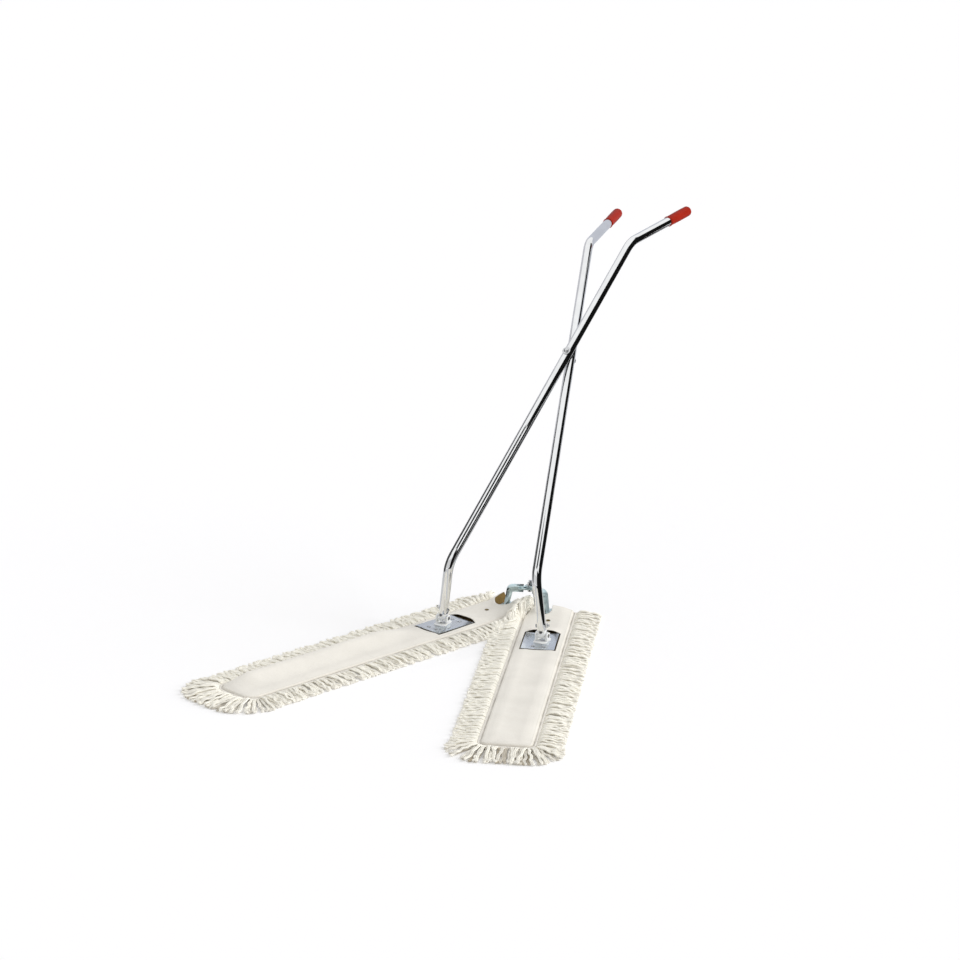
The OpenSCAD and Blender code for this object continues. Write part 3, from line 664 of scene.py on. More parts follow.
def nylon_material(colours):
    """Milky moulded nylon that lets some light in."""
    material, shader = new_material("milky_nylon", colours.nylon, 0.5)
    shader.inputs["Specular IOR Level"].default_value = 0.3
    shader.inputs["Subsurface Weight"].default_value = 0.25
    shader.inputs["Subsurface Radius"].default_value = (0.006, 0.006, 0.005)
    shader.inputs["Subsurface Scale"].default_value = 1.0
    flow = noise(material, coordinates(material, "Object"), 140.0, 3.0)
    tinted(material, shader, flow, colours.nylon, 0.93, 1.02)
    bumped(material, shader, flow, "Fac", 0.15, 0.0003)
    return material


def grip_material(colours):
    """Soft moulded grip: a fine matt grain with a dull shine."""
    material, shader = new_material("moulded_red", colours.grip, 0.42)
    shader.inputs["Specular IOR Level"].default_value = 0.08
    place = coordinates(material, "Object")
    grain = noise(material, place, 1400.0, 2.0)
    clouds = noise(material, place, 45.0, 3.0)
    tinted(material, shader, clouds, colours.grip, 0.86, 1.08)
    roughened(material, shader, clouds, 0.36, 0.5)
    bumped(material, shader, grain, "Fac", 0.2, 0.0002)
    return material


def finish(name, colours):
    """The finish of that name, made once."""
    made = bpy.data.materials.get(name)
    if made:
        return made
    if name in METALS:
        base, *look = METALS[name]
        return metal_material(name, getattr(colours, base), *look)
    makers = {
        "cotton_canvas": canvas_material,
        "pocket_lining": pocket_shade_material,
        "plied_yarn": yarn_material,
        "sewing_thread": thread_material,
        "milky_nylon": nylon_material,
        "moulded_red": grip_material,
    }
    return makers[name](colours)


# Pieces of the mop heads


def canvas_top(head, colours, side):
    """The cover's upper canvas: heights over a grid of lines along and across the head.

    Rows near the tip are drawn in, so the outline has round corners. The cells of the cut-out and the mouth
    are left out, the cut-out's inner edge bows towards the open end, and the end of the mouth is round.
    """
    bow_depth, bow_fade, mouth_round, round_fade = 0.009, 0.035, 0.34, 0.06
    half = head.cover_width / 2.0
    cut = head.cut_width / 2.0
    start, end = cut_ends(head)
    mouth_in, mouth_out = mouth_edges(head, side)
    mouth_middle, mouth = (mouth_in + mouth_out) / 2.0, (mouth_out - mouth_in) / 2.0
    columns = divided([-half, -cut, mouth_in, mouth_out, cut, half], 0.0016)
    rows = divided([0.0, head.mouth_length, start, end, straight_length(head)], 0.004)
    along = np.concatenate([rows, tip_rows(head, 25)])[:, None] + 0.0 * columns[None, :]
    across = columns[None, :] * (half - drawn_in(head, along)) / half
    bow = bow_depth * np.maximum(1.0 - (across / cut) ** 2, 0.0)
    moved = along - bow * bell(np.maximum(start - along, 0.0), bow_fade) * (along <= start + 1e-6)
    beside = np.clip((across - mouth_middle) / mouth, -1.0, 1.0) ** 2
    moved = moved - mouth_round * beside * along * (1.0 - smooth((along - head.mouth_length) / round_fade))
    up = cover_height(head, side, across, moved)
    faces = grid_faces(*along.shape)
    middle_across = across.ravel()[faces].mean(1)
    middle_along = along.ravel()[faces].mean(1)
    in_cut = (np.abs(middle_across) < cut) & (middle_along > start) & (middle_along < end)
    in_mouth = (np.abs(middle_across - mouth_middle) < mouth) & (middle_along < head.mouth_length)
    cloth_uv = np.stack([across, moved], -1)
    faces = faces[~(in_cut | in_mouth)]
    piece = add_piece(f"{side}_canvas_top", on_head(head, side, across, moved, up), faces,
                      finish("cotton_canvas", colours), cloth_uv, flip=side == "right")
    inside = inside_distance(head, across, moved).ravel()[np.unique(faces)]
    point_values(piece, "inside_share", np.clip(inside / SEAM_BAND, 0.0, 1.0))
    # The underside gets the dark pocket colour: painted shade for the inside of the pocket
    piece.data.materials.append(finish("pocket_lining", colours))
    thicken(piece, head.cloth, 1)
    return piece


def thicken(piece, thickness, under=0):
    """Gives a sheet its thickness below its top face, with a closed rim, and a material for its underside."""
    solid = piece.modifiers.new("Thickness", "SOLIDIFY")
    solid.thickness = thickness
    solid.offset = -1.0
    solid.use_even_offset = True
    solid.material_offset = under


def canvas_base(head, colours, side):
    """The cover's base cloth, flat under the frame, painted dark brown as shade for the inside of the pocket.

    On the left a fold of it is drawn up behind the outer lip of the mouth, just under the upper canvas, so
    that its painted shade shows in the mouth.
    """
    hem_room, fold_end, fold_behind, fold_width, fold_fade = 0.0006, 0.1, 0.002, 0.010, 0.03
    fine = divided([0.0, fold_end], 0.003)
    coarse = np.linspace(fold_end, straight_length(head), 54)[1:]
    along = np.concatenate([fine, coarse, tip_rows(head, 25)])[:, None]
    half = head.cover_width / 2.0 - drawn_in(head, along) - hem_room
    across = np.linspace(-1.0, 1.0, 97)[None, :] * half
    along = along + 0.0 * across
    up = head.base_height + head.cloth + 0.0002 * ripples(11, across, along, [(0.2, 0.5), (0.11, 0.5)])
    if side == "left":
        lip = mouth_edges(head, side)[1] + fold_behind
        room = cover_height(head, side, across, along) - 1.6 * head.cloth - up
        drawn_up = bell(across - lip, fold_width) * (1.0 - smooth((along - head.mouth_length) / fold_fade))
        up = up + np.maximum(room, 0.0) * drawn_up
    piece = add_piece(f"{side}_canvas_base", on_head(head, side, across, along, up), grid_faces(*along.shape),
                      finish("pocket_lining", colours), np.stack([across, along], -1), flip=side == "right")
    thicken(piece, head.cloth)
    return piece


def seam_threads(head, colours, side):
    """Rows of stitches along the hem: short arched threads, thickest in their middle, laid on the cover."""
    pitch, stitch, radius, rings, sides = 0.0042, 0.0029, 0.00042, 5, 4
    edge_seam, pocket_seam = 0.0025, 0.0068
    rows = []
    for inset in (edge_seam, pocket_seam):
        run = np.arange(pitch, hem_run(head, -inset) - pitch, pitch)
        across, along, out_x, out_y = hem_path(head, run, inset, -inset)
        share = np.linspace(-1.0, 1.0, rings)[None, :]
        x = across[:, None] - out_y[:, None] * share * stitch / 2.0
        y = along[:, None] + out_x[:, None] * share * stitch / 2.0
        z = cover_height(head, side, x, y) + radius * (0.7 - 0.9 * share**2)
        thick = radius * np.sqrt(1.0 - 0.85 * share**2)
        turn = np.linspace(0.0, FULL_TURN, sides, endpoint=False) + math.pi / 4.0
        side_x = out_x[:, None, None] * np.cos(turn) * thick[:, :, None]
        side_y = out_y[:, None, None] * np.cos(turn) * thick[:, :, None]
        rows.append(on_head(head, side, x[:, :, None] + side_x, y[:, :, None] + side_y,
                            z[:, :, None] + np.sin(turn) * thick[:, :, None]))
    points = np.concatenate(rows)
    return add_piece(f"{side}_seam_threads", points, tube_faces(len(points), rings, sides),
                     finish("sewing_thread", colours), flip=side == "right")


def clumps(draw, run):
    """How much loops bunch up along the hem, from 0 to 1: a smooth step of three sine waves."""
    waves = ((0.043, 0.5), (0.027, 0.3), (0.0165, 0.25))
    total = sum(share * np.sin(FULL_TURN * run / wavelength + draw.uniform(0.0, FULL_TURN))
                for wavelength, share in waves)
    return smooth(0.5 + 0.7 * total)


def inner_leans(head, across, along, size, lean, heaped):
    """How far loops of the inner side lean along the head, to reach only a little past the middle of the V.

    Heaped loops near the hinge lean back towards it instead.
    """
    past_middle, near, far, most = 0.012, 0.02, 0.10, 1.5
    half = head.v_angle / 2.0
    to_middle = (head.start + along) * math.tan(half) + across + head.offset
    room = to_middle + drawn_out(head, along + 0.8 * size) + past_middle
    turned = np.arccos(np.clip(math.cos(half) * room / size, -1.0, 1.0))
    needed = turned - half
    held = np.maximum(needed, 0.0) + np.where(needed > 0.1, -0.5 * np.abs(lean), lean)
    back = heaped & (along > near) & (along < far)
    return np.where(back, -np.minimum(turned + half, most), held)


def hairpins(size, width):
    """Distances out and aside along loops: out and back on two legs, with a half circle at the far end."""
    legs = divided([0.0, 0.30, 1.0], 0.055)
    q = np.concatenate([-legs[:0:-1], legs])[None, :]
    arc = math.pi * width / 4.0
    way = (np.abs(q) ** 1.6) * (size - width / 2.0 + arc)
    bend = np.minimum(way / (width / 2.0), RIGHT_ANGLE)
    out = size - width / 2.0 * (1.0 - np.cos(bend)) - np.maximum(way - arc, 0.0)
    return out, np.sign(q) * width / 2.0 * np.sin(bend)


def loop_heights(head, yarn, layer, share, bounce):
    """Heights along loops, which sink from the hem to the floor, upper layers over lower ones, and bounce."""
    root_drop, floor_share, sink_share = 0.0008, 0.52, 0.8
    first_lift, layer_lift, root_share = 0.0012, 0.0030, 0.18
    bounce_height = 0.0015
    root, floor = head.base_height - root_drop, floor_share * yarn.thickness
    sunk = floor + (root - floor) * (1.0 - smooth(share / sink_share))
    lift = (first_lift + layer_lift * layer) * (1.0 - share) ** 0.8 * smooth(share / root_share)
    return sunk + lift + bounce_height * share * bounce * (0.4 + 0.5 * layer)


def yarn_loops(head, yarn, run, seed, mound, swept, tufted):
    """Centre lines and tones of hairpin loops of yarn that lie out from the hem.

    Loops lean and wave, draw together in tufts towards their ends, and sink from the hem to the floor. A
    mound raises the ones on the inner side near the hinge in arches. Tufted is how much the tufts stand out,
    in height and in the painted shade of their gaps. The tones hold painted shade: lower layers, gaps between
    tufts and lower layers near the tip are darker.
    """
    root_inset, end_room, jitter, fallen_share = 0.004, 0.002, 0.4, 0.06
    tip_tuft, side_tuft, gathered, tuft_height = 1.3, 2.4, 0.30, 0.0028
    lean_spread, heaped_share, mound_fade = 0.055, 0.6, 0.095
    swept_fade, swept_lift, swept_lift_fade = 0.07, 0.022, 0.08
    tone_spread, gap_shade = 0.20, 0.16
    draw = np.random.default_rng(seed)
    count = len(run)
    reach = yarn.side_length / 2.0
    run = run + draw.uniform(-jitter, jitter, count) * yarn.pitch
    run = np.clip(run, end_room, hem_run(head, reach) - end_room)
    across, along, out_x, out_y = hem_path(head, run, root_inset, reach)
    fallen = draw.uniform(0.0, 1.0, count) < fallen_share + fallen_share * out_y
    layer = np.where(fallen, 0, np.arange(count) % yarn.layers)
    size = yarn.side_length + (yarn.tip_length - yarn.side_length) * out_y
    size = size * (1.0 + 0.10 * np.abs(out_x) * out_y)
    size = size * LAYER_LENGTH[layer % 3] * draw.uniform(0.965, 1.01, count)

    tuft = yarn.pitch * np.where(out_y > 0.5, tip_tuft, side_tuft)
    gather = np.round(run / tuft + draw.uniform(-0.25, 0.25, count)) * tuft - run
    drift = ripples(seed + 1, run, 0.0 * run, [(0.13, 0.06), (0.061, 0.05), (0.031, 0.05)])
    lean = drift + draw.normal(0.0, lean_spread, count)
    clump = clumps(draw, run)
    inner = (across < 0.0) & (out_y < 0.5)
    heaped = (draw.uniform(0.0, 1.0, count) < heaped_share) & (mound > 0.0)
    held = inner_leans(head, across, along, size, lean, heaped)
    lean = np.where(inner, held, lean - swept * bell(along, swept_fade))

    out, aside = hairpins(size[:, None], draw.uniform(0.0030, 0.0040, count)[:, None])
    share = np.clip(out / size[:, None], 0.0, 1.0)
    wave = draw.uniform(0.0012, 0.0034, count)[:, None]
    pace = draw.uniform(0.030, 0.055, count)[:, None]
    phase = draw.uniform(0.0, FULL_TURN, count)[:, None]
    aside = aside + wave * share * np.sin(FULL_TURN * out / pace + phase)
    aside = aside + gathered * gather[:, None] * share**1.5

    bounce = 1.0 + np.sin(FULL_TURN * out / (0.7 * pace) + 2.0 * phase)
    up = loop_heights(head, yarn, layer[:, None], share, bounce)
    up = up + tuft_height * tufted * (layer * clump)[:, None] * np.sin(math.pi * share**0.8)
    arch = mound * draw.uniform(0.15, 1.0, count) * bell(along, mound_fade) * inner
    arch = arch + swept_lift * swept * draw.uniform(0.3, 1.0, count) * bell(along, swept_lift_fade)
    up = up + arch[:, None] * np.sin(math.pi * share**0.75) ** 0.8

    turn = lean[:, None] * smooth(share / 0.5)
    mirror = np.sign(across[:, None] + 1e-9)
    dir_x = out_x[:, None] * np.cos(turn) - out_y[:, None] * np.sin(turn) * mirror
    dir_y = out_y[:, None] * np.cos(turn) + np.abs(out_x[:, None]) * np.sin(turn)
    x = across[:, None] + dir_x * out - dir_y * aside
    y = along[:, None] + dir_y * out + dir_x * aside
    # Painted shade in the tones: darker lower layers, darker tuft gaps and tip, less on calm stretches; the
    # spread is each strand's own tone
    tone = LAYER_SHADED_TONE[layer % 3] + tone_spread * draw.uniform(0.0, 1.0, count)
    tone = tone + (1.0 - tufted) * LAYER_CALM[layer % 3] - LAYER_TIP_SHADE[layer % 3] * out_y
    tone = tone - gap_shade * tufted * np.minimum(layer, 1) * (1.0 - clump)
    return np.stack([x, y, up], -1), tone


def sweep(lines, radius, sides):
    """Tubes round many centre lines: rings of points square to each line's direction, upright at the top."""
    along = np.gradient(lines, axis=1)
    along /= np.linalg.norm(along, axis=2, keepdims=True)
    across = np.cross(along, np.array([0.0, 0.0, 1.0]))
    across /= np.maximum(np.linalg.norm(across, axis=2, keepdims=True), 1e-9)
    over = np.cross(across, along)
    turn = np.linspace(0.0, FULL_TURN, sides, endpoint=False)[:, None]
    ring = across[:, :, None] * np.cos(turn) + over[:, :, None] * np.sin(turn)
    return lines[:, :, None] + radius * ring


def fringe_part(head, yarn, colours, side, part, stretch, seed, mound, swept, tufted):
    """Loops of yarn along one stretch of the hem."""
    sides = 6
    run = np.arange(*stretch, yarn.pitch / yarn.layers * (APEX_PITCH if mound else 1.0))
    lines, tone = yarn_loops(head, yarn, run, seed, mound, swept, tufted)
    count, rings = lines.shape[:2]
    points = sweep(lines, yarn.thickness / 2.0, sides)
    placed = on_head(head, side, points[..., 0], points[..., 1], points[..., 2])
    step = np.linalg.norm(np.diff(lines, axis=1), axis=2)
    run_along = np.concatenate([np.zeros((count, 1)), np.cumsum(step, 1)], 1) / TWIST
    around = np.linspace(0.0, 3.0, sides)[None, None, :]
    uv = np.stack(np.broadcast_arrays(run_along[:, :, None], around), -1)
    piece = add_piece(f"{side}_fringe_{part}", placed, tube_faces(count, rings, sides),
                      finish("plied_yarn", colours), uv, flip=side == "right")
    point_values(piece, "strand_tone", np.repeat(tone, rings * sides))
    return piece


def yarn_sole(head, yarn, colours, side):
    """Yarn rows under a head: a flat top, and below it round rows side by side that wander and twist.

    Across the head the depth of a row is sqrt(1 - 0.92 t^2), where t goes from -1 to 1 over the row. Plies
    that run along it at a slant make it swell and shrink.
    """
    inset, skin, rim_run, ply_length = 0.001, 0.0002, 0.004, 0.011
    straight = np.linspace(inset, straight_length(head), 240)
    along = np.concatenate([straight, tip_rows(head, 17, inset)])[:, None]
    half = head.cover_width / 2.0 - inset - drawn_in(head, along)
    across = np.linspace(-1.0, 1.0, 129)[None, :] * half
    along = along + 0.0 * across
    wander = 0.0012 * np.sin(FULL_TURN * along / 0.07) + 0.0008 * np.sin(FULL_TURN * along / 0.031 + 1.0)
    row = (across + wander) / yarn.sole_pitch
    t = 2.0 * (row - np.round(row))
    ply = 0.12 * np.cos(FULL_TURN * (along / ply_length + 0.5 * t + 0.37 * np.round(row)))
    depth = np.sqrt(np.maximum(1.0 - 0.92 * t**2, 0.0)) * (0.86 + ply)
    low = head.base_height * (1.0 - np.clip(depth, 0.0, 1.0)) + skin
    rim = smooth(inside_distance(head, across, along) / rim_run)
    low = head.base_height - skin - (head.base_height - skin - low) * rim
    top = head.base_height + 0.0 * low
    points = np.concatenate([on_head(head, side, across, along, top).reshape(-1, 3),
                             on_head(head, side, across, along, low).reshape(-1, 3)])
    rows, columns = along.shape
    upper = grid_faces(rows, columns)
    edge = np.concatenate([np.arange(columns), np.arange(2, rows) * columns - 1,
                           np.arange(rows * columns - 1, (rows - 1) * columns - 1, -1),
                           np.arange(rows - 2, 0, -1) * columns])
    after = np.roll(edge, -1)
    below = rows * columns
    rim_faces = np.stack([edge, after, after + below, edge + below], -1)
    faces = np.concatenate([upper[:, ::-1], upper + below, rim_faces])
    uv = np.tile(np.stack([along / TWIST, row], -1).reshape(-1, 2), (2, 1))
    piece = add_piece(f"{side}_yarn_rows", points, faces,
                      finish("plied_yarn", colours), uv, flip=side == "left")
    point_values(piece, "strand_tone", 0.5 + 0.3 * np.sin(uv[:, 1].round() * 12.9))
    return piece


# Handles


def handle_frame(handle, side):
    """Place and turn of a handle's foot: swing plane, crossing angle, lean over the other one, lower bend."""
    joint = np.array(JOINTS[f"{side}_tilt"]["pos_m"])
    crossing = math.asin(abs(joint[0]) / handle.crossing)
    lean = math.atan((handle.diameter + handle.gap) / (2.0 * handle.crossing)) * -SIDES[side]
    turn = turn_x(handle.slope) @ turn_z(crossing) @ turn_x(lean) @ turn_x(handle.lower_bend - RIGHT_ANGLE)
    return joint, np.diag([SIDES[side], 1.0, 1.0]) @ turn


def handle_path(handle):
    """Middle line of a handle in its foot frame, in the YZ plane, and its heading from +Z towards +Y.

    Straight runs join two bends of the same radius. The line starts at the tube's foot and ends in the grip.
    """
    tangent = [handle.bend_radius * math.tan(a / 2.0) for a in (handle.lower_bend, handle.upper_bend)]
    runs = [
        (handle.lower_length - tangent[0] - handle.foot, 0.0, 12),
        (None, handle.lower_bend, 30),
        (handle.main_length - tangent[0] - tangent[1], 0.0, 60),
        (None, handle.upper_bend, 30),
        (handle.top_length - tangent[1] - handle.grip_end, 0.0, 20),
    ]
    place, heading = np.array([0.0, handle.foot]), 0.0
    points, headings = [place[None]], [np.array([heading])]
    for straight, bend, steps in runs:
        share = np.linspace(0.0, 1.0, steps + 1)[1:]
        turned = heading + bend * share
        if bend:
            way = [np.cos(heading) - np.cos(turned), np.sin(turned) - np.sin(heading)]
            way = handle.bend_radius * np.stack(way, -1)
        else:
            way = straight * share[:, None] * np.array([math.sin(heading), math.cos(heading)])
        points.append(place + way)
        headings.append(turned)
        place, heading = points[-1][-1], headings[-1][-1]
    return np.concatenate(points), np.concatenate(headings)


def handle_rings(handle, side, middle, heading, radius):
    """Rings of points round places on a handle's middle line, square to their headings."""
    turn = np.linspace(0.0, FULL_TURN, ROUND, endpoint=False)[None, :]
    aside = radius[:, None] * np.cos(turn)
    over = radius[:, None] * np.sin(turn)
    y = middle[:, :1] + over * np.cos(heading)[:, None]
    z = middle[:, 1:] - over * np.sin(heading)[:, None]
    place, turned = handle_frame(handle, side)
    return np.stack([aside, y, z], -1) @ turned.T + place


def handle_tube(handle, colours, side):
    """Bent tube: a round section carried along the handle's middle line, outside and back along the bore."""
    chamfer = 0.0004
    middle, heading = handle_path(handle)
    count, outer = len(middle), handle.diameter / 2.0
    order = np.concatenate([np.arange(count), np.arange(count)[::-1], [0]])
    radius = np.concatenate([np.full(count, outer), np.full(count, outer - handle.wall), [outer]])
    radius[[0, count - 1, -1]] -= chamfer
    points = handle_rings(handle, side, middle[order], heading[order], radius)
    run = np.concatenate([[0.0], np.cumsum(np.linalg.norm(np.diff(middle[order], axis=0), axis=1))])
    around = np.linspace(0.0, 1.0, ROUND, endpoint=False)[None, :]
    uv = np.stack(np.broadcast_arrays(around, run[:, None]), -1)
    return add_piece(f"{side}_bent_tube", points, grid_faces(len(order), ROUND, wrap=True),
                     finish("bright_chrome", colours), uv, flip=side == "left")


def grip_profile(handle):
    """Turned profile of a grip as (radius, place from its mouth): lip, body, round end and back inside."""
    lip, step, pinhole, room = 0.002, 0.0005, 0.00005, 0.0001
    size, rounding = handle.grip_length, handle.grip_end
    lip_middle, mouth, full = handle.grip_lip / 2.0 - lip, handle.grip_mouth / 2.0, handle.grip_diameter / 2.0
    bore = handle.diameter / 2.0 + room
    roll = np.linspace(-RIGHT_ANGLE, RIGHT_ANGLE, 9)
    rolled = np.stack([lip_middle + lip * np.cos(roll), lip + lip * np.sin(roll)], -1)
    share = np.linspace(0.0, 1.0, 41)[1:]
    swell = mouth + (full - mouth) * np.sin(math.radians(150.0) * share)
    start, stop = 2.0 * lip + step, size - rounding
    body = np.stack([swell, start + (stop - start) * share], -1)
    turn = np.linspace(0.0, RIGHT_ANGLE, 13)[1:-1]
    flat = swell[-1] - rounding
    cap = np.stack([flat + rounding * np.cos(turn), stop + rounding * np.sin(turn)], -1)
    tip = [[flat, size], [0.5 * flat, size + 0.0002], [pinhole, size + 0.0003]]
    inside = [[pinhole, stop + 0.001], [bore, stop + 0.001], [bore, 0.0], [lip_middle, 0.0]]
    return np.concatenate([rolled, [[mouth, start]], body, cap, tip, inside])


def grip(handle, colours, side):
    """Moulded grip: a turned profile with a rolled lip at its mouth, a slight swell and a round end."""
    middle, heading = handle_path(handle)
    profile = grip_profile(handle)
    ahead = np.array([[math.sin(heading[-1]), math.cos(heading[-1])]])
    places = middle[-1:] + handle.grip_end * ahead + (profile[:, 1:] - handle.grip_length) * ahead
    points = handle_rings(handle, side, places, np.full(len(profile), heading[-1]), profile[:, 0])
    return add_piece(f"{side}_moulded_grip", points, grid_faces(len(profile), ROUND, wrap=True),
                     finish("moulded_red", colours), flip=side == "left")


# Operators


class DUST_MOP_OT_canvas(bpy.types.Operator):
    """Makes the canvas covers, their base cloths and their seams."""

    bl_idname = "dust_mop.canvas"
    bl_label = "Canvas covers"

    def execute(self, context):
        colours = context.scene.mop_colours
        for side in SIDES:
            body = f"{side}_head"
            head = one_head(context.scene, side)
            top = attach(canvas_top(head, colours, side), body)
            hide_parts(f"{side}_canvas_cover")
            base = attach(canvas_base(head, colours, side), body)
            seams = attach(seam_threads(head, colours, side), body)
        return {"FINISHED"}


class DUST_MOP_OT_fringe(bpy.types.Operator):
    """Makes the yarn fringes round the covers."""

    bl_idname = "dust_mop.fringe"
    bl_label = "Fringe"

    def execute(self, context):
        scene = context.scene
        yarn, colours = scene.mop_yarn, scene.mop_colours
        for number, side in enumerate(SIDES):
            head = one_head(scene, side)
            total = hem_run(head, yarn.side_length / 2.0)
            straight = straight_length(head)
            parts = {
                "outer": (0.0, straight, 7),
                "tip": (straight, total - straight, 17),
                "inner": (total - straight, total, 27),
                "apex": (total - APEX_RUN, total, 47),
            }
            for part, (first, last, seed) in parts.items():
                mound = yarn.mound if part == "apex" else 0.0
                swept = yarn.swept if (side, part) == ("left", "outer") else 0.0
                tufted = yarn.calm if (side, part) in CALM_PARTS else 1.0
                piece = fringe_part(head, yarn, colours, side, part, (first, last), 100 * number + seed,
                                    mound, swept, tufted)
                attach(piece, f"{side}_head")
                if part == "tip":
                    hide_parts(f"{side}_fringe")
        return {"FINISHED"}


class DUST_MOP_OT_sole(bpy.types.Operator):
    """Makes the rows of yarn under the heads."""

    bl_idname = "dust_mop.sole"
    bl_label = "Yarn soles"

    def execute(self, context):
        scene = context.scene
        for side in SIDES:
            piece = yarn_sole(one_head(scene, side), scene.mop_yarn, scene.mop_colours, side)
            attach(piece, f"{side}_head")
            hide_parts(f"{side}_yarn_sole")
        return {"FINISHED"}


class DUST_MOP_OT_handles(bpy.types.Operator):
    """Makes the bent tubes and their grips."""

    bl_idname = "dust_mop.handles"
    bl_label = "Handles"

    def execute(self, context):
        handle, colours = context.scene.mop_handle, context.scene.mop_colours
        for side in SIDES:
            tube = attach(handle_tube(handle, colours, side), f"{side}_handle")
            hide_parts(f"{side}_handle_tube")
            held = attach(grip(handle, colours, side), f"{side}_handle")
            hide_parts(f"{side}_grip")
        return {"FINISHED"}


class DUST_MOP_OT_fittings(bpy.types.Operator):
    """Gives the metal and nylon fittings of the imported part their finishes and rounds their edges."""

    bl_idname = "dust_mop.fittings"
    bl_label = "Fittings"

    finishes = {
        "zinc_plate": ("saddle_plate", "clamp_straps", "arm_clamp", "wire_frame"),
        "blue_zinc": ("hinge_arm",),
        "bright_steel": ("plate_rivets", "arm_rivets", "swivel_rivet", "stem_bolt", "stem_nut", "hinge_bolt",
                         "hinge_washers", "hinge_nut", "scissor_bolt", "scissor_washers", "scissor_nut"),
        "dull_steel": ("tilt_pins", "swing_pin"),
        "stud_brass": ("press_stud",),
        "milky_nylon": ("yoke", "knuckle", "stem"),
    }

    def execute(self, context):
        by_piece = {piece: name for name, pieces in self.finishes.items() for piece in pieces}
        for node, part in frame["nodes"].items():
            piece = node.removeprefix("left_").removeprefix("right_")
            if piece in by_piece:
                material = finish(by_piece[piece], context.scene.mop_colours)
                part.data.materials.clear()
                part.data.materials.append(material)
                round_edges(part)
        return {"FINISHED"}


def round_edges(part):
    """Joins a fitting's loose faces, makes its flats whole and rounds its edges a little."""
    weld = part.modifiers.new("Join faces", "WELD")
    weld.merge_threshold = 0.00001
    flats = part.modifiers.new("Whole flats", "DECIMATE")
    flats.decimate_type = "DISSOLVE"
    flats.angle_limit = math.radians(1.0)
    edges = part.modifiers.new("Round edges", "BEVEL")
    edges.width = 0.0004
    edges.segments = 2
    edges.limit_method = "ANGLE"
    edges.angle_limit = math.radians(40.0)
    edges.harden_normals = True
    part.data.polygons.foreach_set("use_smooth", np.ones(len(part.data.polygons), bool))


class DUST_MOP_OT_stage(bpy.types.Operator):
    """Makes the pale floor, the light, the reflection cards and the camera."""

    bl_idname = "dust_mop.stage"
    bl_label = "Stage"

    def execute(self, context):
        studio = context.scene.mop_studio
        ground = flat_corners(-40.0, 40.0, -40.0, 40.0, -0.0002)
        stage_card("floor", ground, (0.88, 0.876, 0.892), (0.150, 0.150, 0.144))
        glossy = {
            "dark_wall": (wall_corners(2.6, -62.0, 62.0, 0.0, 3.6), DARK),
            "dark_floor": (flat_corners(0.46, 4.0, -3.5, 3.0, 0.0006), DARK),
            "grey_floor": (flat_corners(-4.0, 0.46, -3.5, 3.0, 0.0004), (0.62, 0.62, 0.63)),
            "back_wall": (wall_corners(3.0, 66.0, 128.0, 0.0, 2.5), (0.58, 0.60, 0.66)),
            "left_screen": (side_corners(-0.9, -0.8, 0.44, 0.0, 1.3), (0.07, 0.07, 0.07)),
            "pale_screen": (side_corners(-0.9, 0.44, 1.7, 0.0, 1.55), (0.60, 0.60, 0.63)),
            "dark_gap": (side_corners(0.0, 0.055, 0.14, 0.0, 0.085), DARK),
            "white_strip": (WHITE_STRIP, (1.1, 1.1, 1.1)),
            "dark_strip": (DARK_STRIP, (0.03, 0.03, 0.03)),
            "white_roof": (flat_corners(-7.0, 7.0, -7.0, 7.0, 4.5), (1.0, 1.0, 1.0)),
        }
        for name, (corners, glow) in glossy.items():
            card = stage_card(name, corners, DARK, glow)
            card.visible_camera = False
            card.visible_diffuse = False
            card.visible_shadow = False
            card.visible_transmission = False
        white_world(context.scene, studio.sky)
        key_light(context.scene, studio)
        aim_camera(context.scene, studio)
        context.scene.view_settings.view_transform = "Standard"
        return {"FINISHED"}


def flat_corners(left, right, front, back, height):
    """Corners of a level card."""
    return np.array([[[x, y, height] for x in (left, right)] for y in (front, back)])


def side_corners(x, front, back, low, high):
    """Corners of an upright card that faces sideways."""
    return np.array([[[x, y, z] for y in (front, back)] for z in (low, high)])


def wall_corners(radius, first, last, low, high):
    """Points of an upright card on a circle about the origin, between two directions in degrees from +X."""
    turn = np.radians(np.linspace(first, last, 25))
    foot = np.stack([radius * np.cos(turn), radius * np.sin(turn), np.full(25, low)], -1)
    return np.stack([foot, foot + np.array([0.0, 0.0, high - low])])


def stage_card(name, corners, shade, glow):
    """A card over a grid of points, with a dull shade and a glow of its own."""
    material, shader = new_material(name, shade, 1.0)
    shader.inputs["Specular IOR Level"].default_value = 0.0
    shader.inputs["Emission Color"].default_value = (*glow, 1.0)
    shader.inputs["Emission Strength"].default_value = 1.0
    card = add_piece(name, corners, grid_faces(*corners.shape[:2]), material)
    return card


def white_world(scene, strength):
    """Even white surroundings."""
    world = bpy.data.worlds.new("white_studio")
    world.use_nodes = True
    background = world.node_tree.nodes["Background"]
    background.inputs["Color"].default_value = (1.0, 1.0, 1.0, 1.0)
    background.inputs["Strength"].default_value = strength
    scene.world = world


def key_light(scene, studio):
    """Broad soft light from behind and from the right, which leaves soft shadows in front."""
    lamp = bpy.data.lights.new("key_light", "SUN")
    lamp.energy = studio.key
    lamp.angle = studio.key_spread
    placed = bpy.data.objects.new("key_light", lamp)
    placed.rotation_euler = (studio.key_tilt, 0.0, studio.key_turn)
    placed.visible_glossy = False
    scene.collection.objects.link(placed)


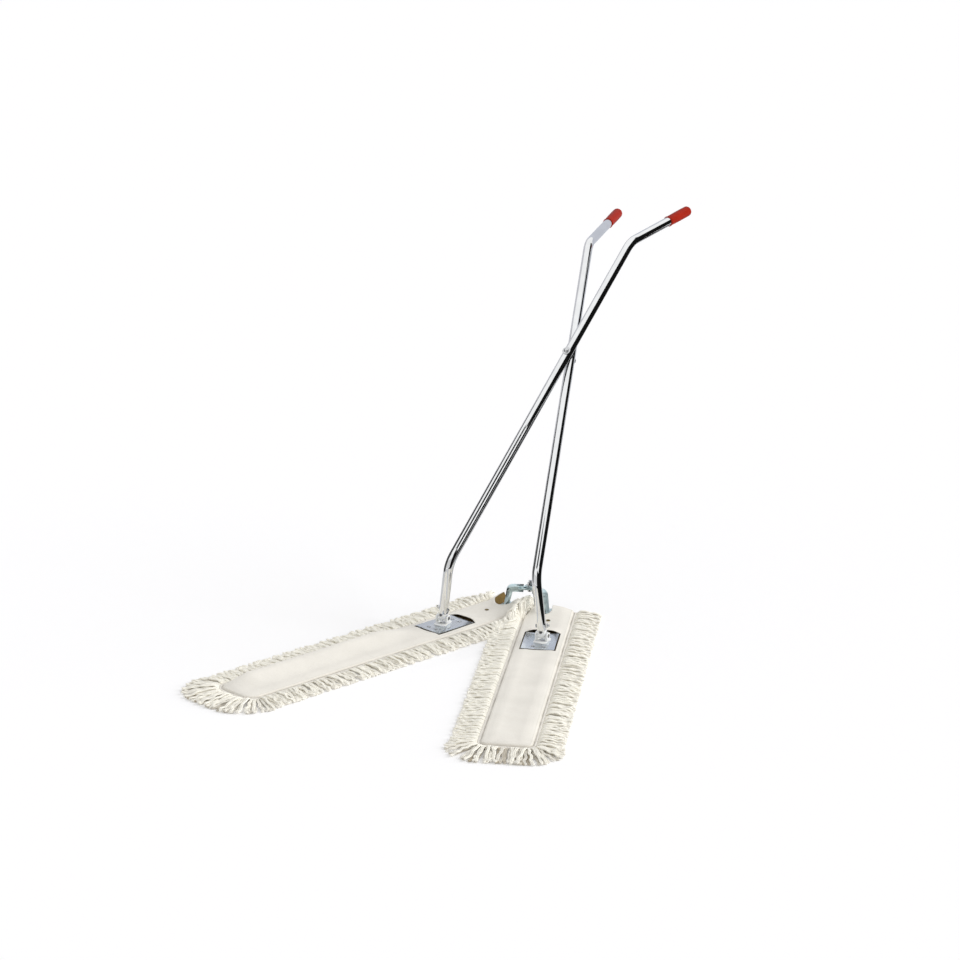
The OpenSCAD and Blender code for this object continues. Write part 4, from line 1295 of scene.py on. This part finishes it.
def aim_camera(scene, studio):
    """Camera from its place, yaw, pitch and roll."""
    yaw, pitch, roll = studio.yaw, studio.pitch, studio.roll
    forward = np.array([math.sin(yaw) * math.cos(pitch), math.cos(yaw) * math.cos(pitch), -math.sin(pitch)])
    right = np.array([math.cos(yaw), -math.sin(yaw), 0.0])
    up = np.cross(right, forward)
    rolled_right = right * math.cos(roll) + up * math.sin(roll)
    rolled_up = up * math.cos(roll) - right * math.sin(roll)
    camera = bpy.data.cameras.new("camera")
    camera.sensor_width = 36.0
    camera.lens = studio.lens
    camera.clip_end = 200.0
    placed = bpy.data.objects.new("camera", camera)
    columns = np.eye(4)
    columns[:3, 0], columns[:3, 1], columns[:3, 2] = rolled_right, rolled_up, -forward
    columns[:3, 3] = studio.camera
    placed.matrix_world = Matrix(columns.tolist())
    scene.collection.objects.link(placed)
    scene.camera = placed


class DUST_MOP_PT_panel(bpy.types.Panel):
    """Buttons that make the mop's pieces, and boxes of its settings, in the sidebar."""

    bl_idname = "DUST_MOP_PT_panel"
    bl_label = "Dust mop"
    bl_space_type = "VIEW_3D"
    bl_region_type = "UI"
    bl_category = "Dust Mop"

    def draw(self, context):
        for operator in OPERATORS:
            self.layout.operator(operator.bl_idname)
        for name in SETTINGS:
            group = getattr(context.scene, name)
            box = self.layout.box()
            for key in group.__annotations__:
                box.prop(group, key)


SETTINGS = {
    "mop_head": HeadSizes,
    "mop_yarn": YarnSizes,
    "mop_handle": HandleSizes,
    "mop_colours": MopColours,
    "mop_studio": StudioSettings,
}
OPERATORS = (
    DUST_MOP_OT_stage,
    DUST_MOP_OT_canvas,
    DUST_MOP_OT_fringe,
    DUST_MOP_OT_sole,
    DUST_MOP_OT_handles,
    DUST_MOP_OT_fittings,
)


def register():
    for made in (*SETTINGS.values(), *OPERATORS, DUST_MOP_PT_panel):
        bpy.utils.register_class(made)
    for name, group in SETTINGS.items():
        setattr(bpy.types.Scene, name, PointerProperty(type=group))


def unregister():
    for name in SETTINGS:
        delattr(bpy.types.Scene, name)
    for made in (DUST_MOP_PT_panel, *reversed(OPERATORS), *reversed(list(SETTINGS.values()))):
        bpy.utils.unregister_class(made)


def main():
    register()
    bpy.ops.dust_mop.stage()
    bpy.ops.dust_mop.canvas()
    bpy.ops.dust_mop.fringe()
    bpy.ops.dust_mop.sole()
    bpy.ops.dust_mop.handles()
    bpy.ops.dust_mop.fittings()


if __name__ == "__main__":
    main()
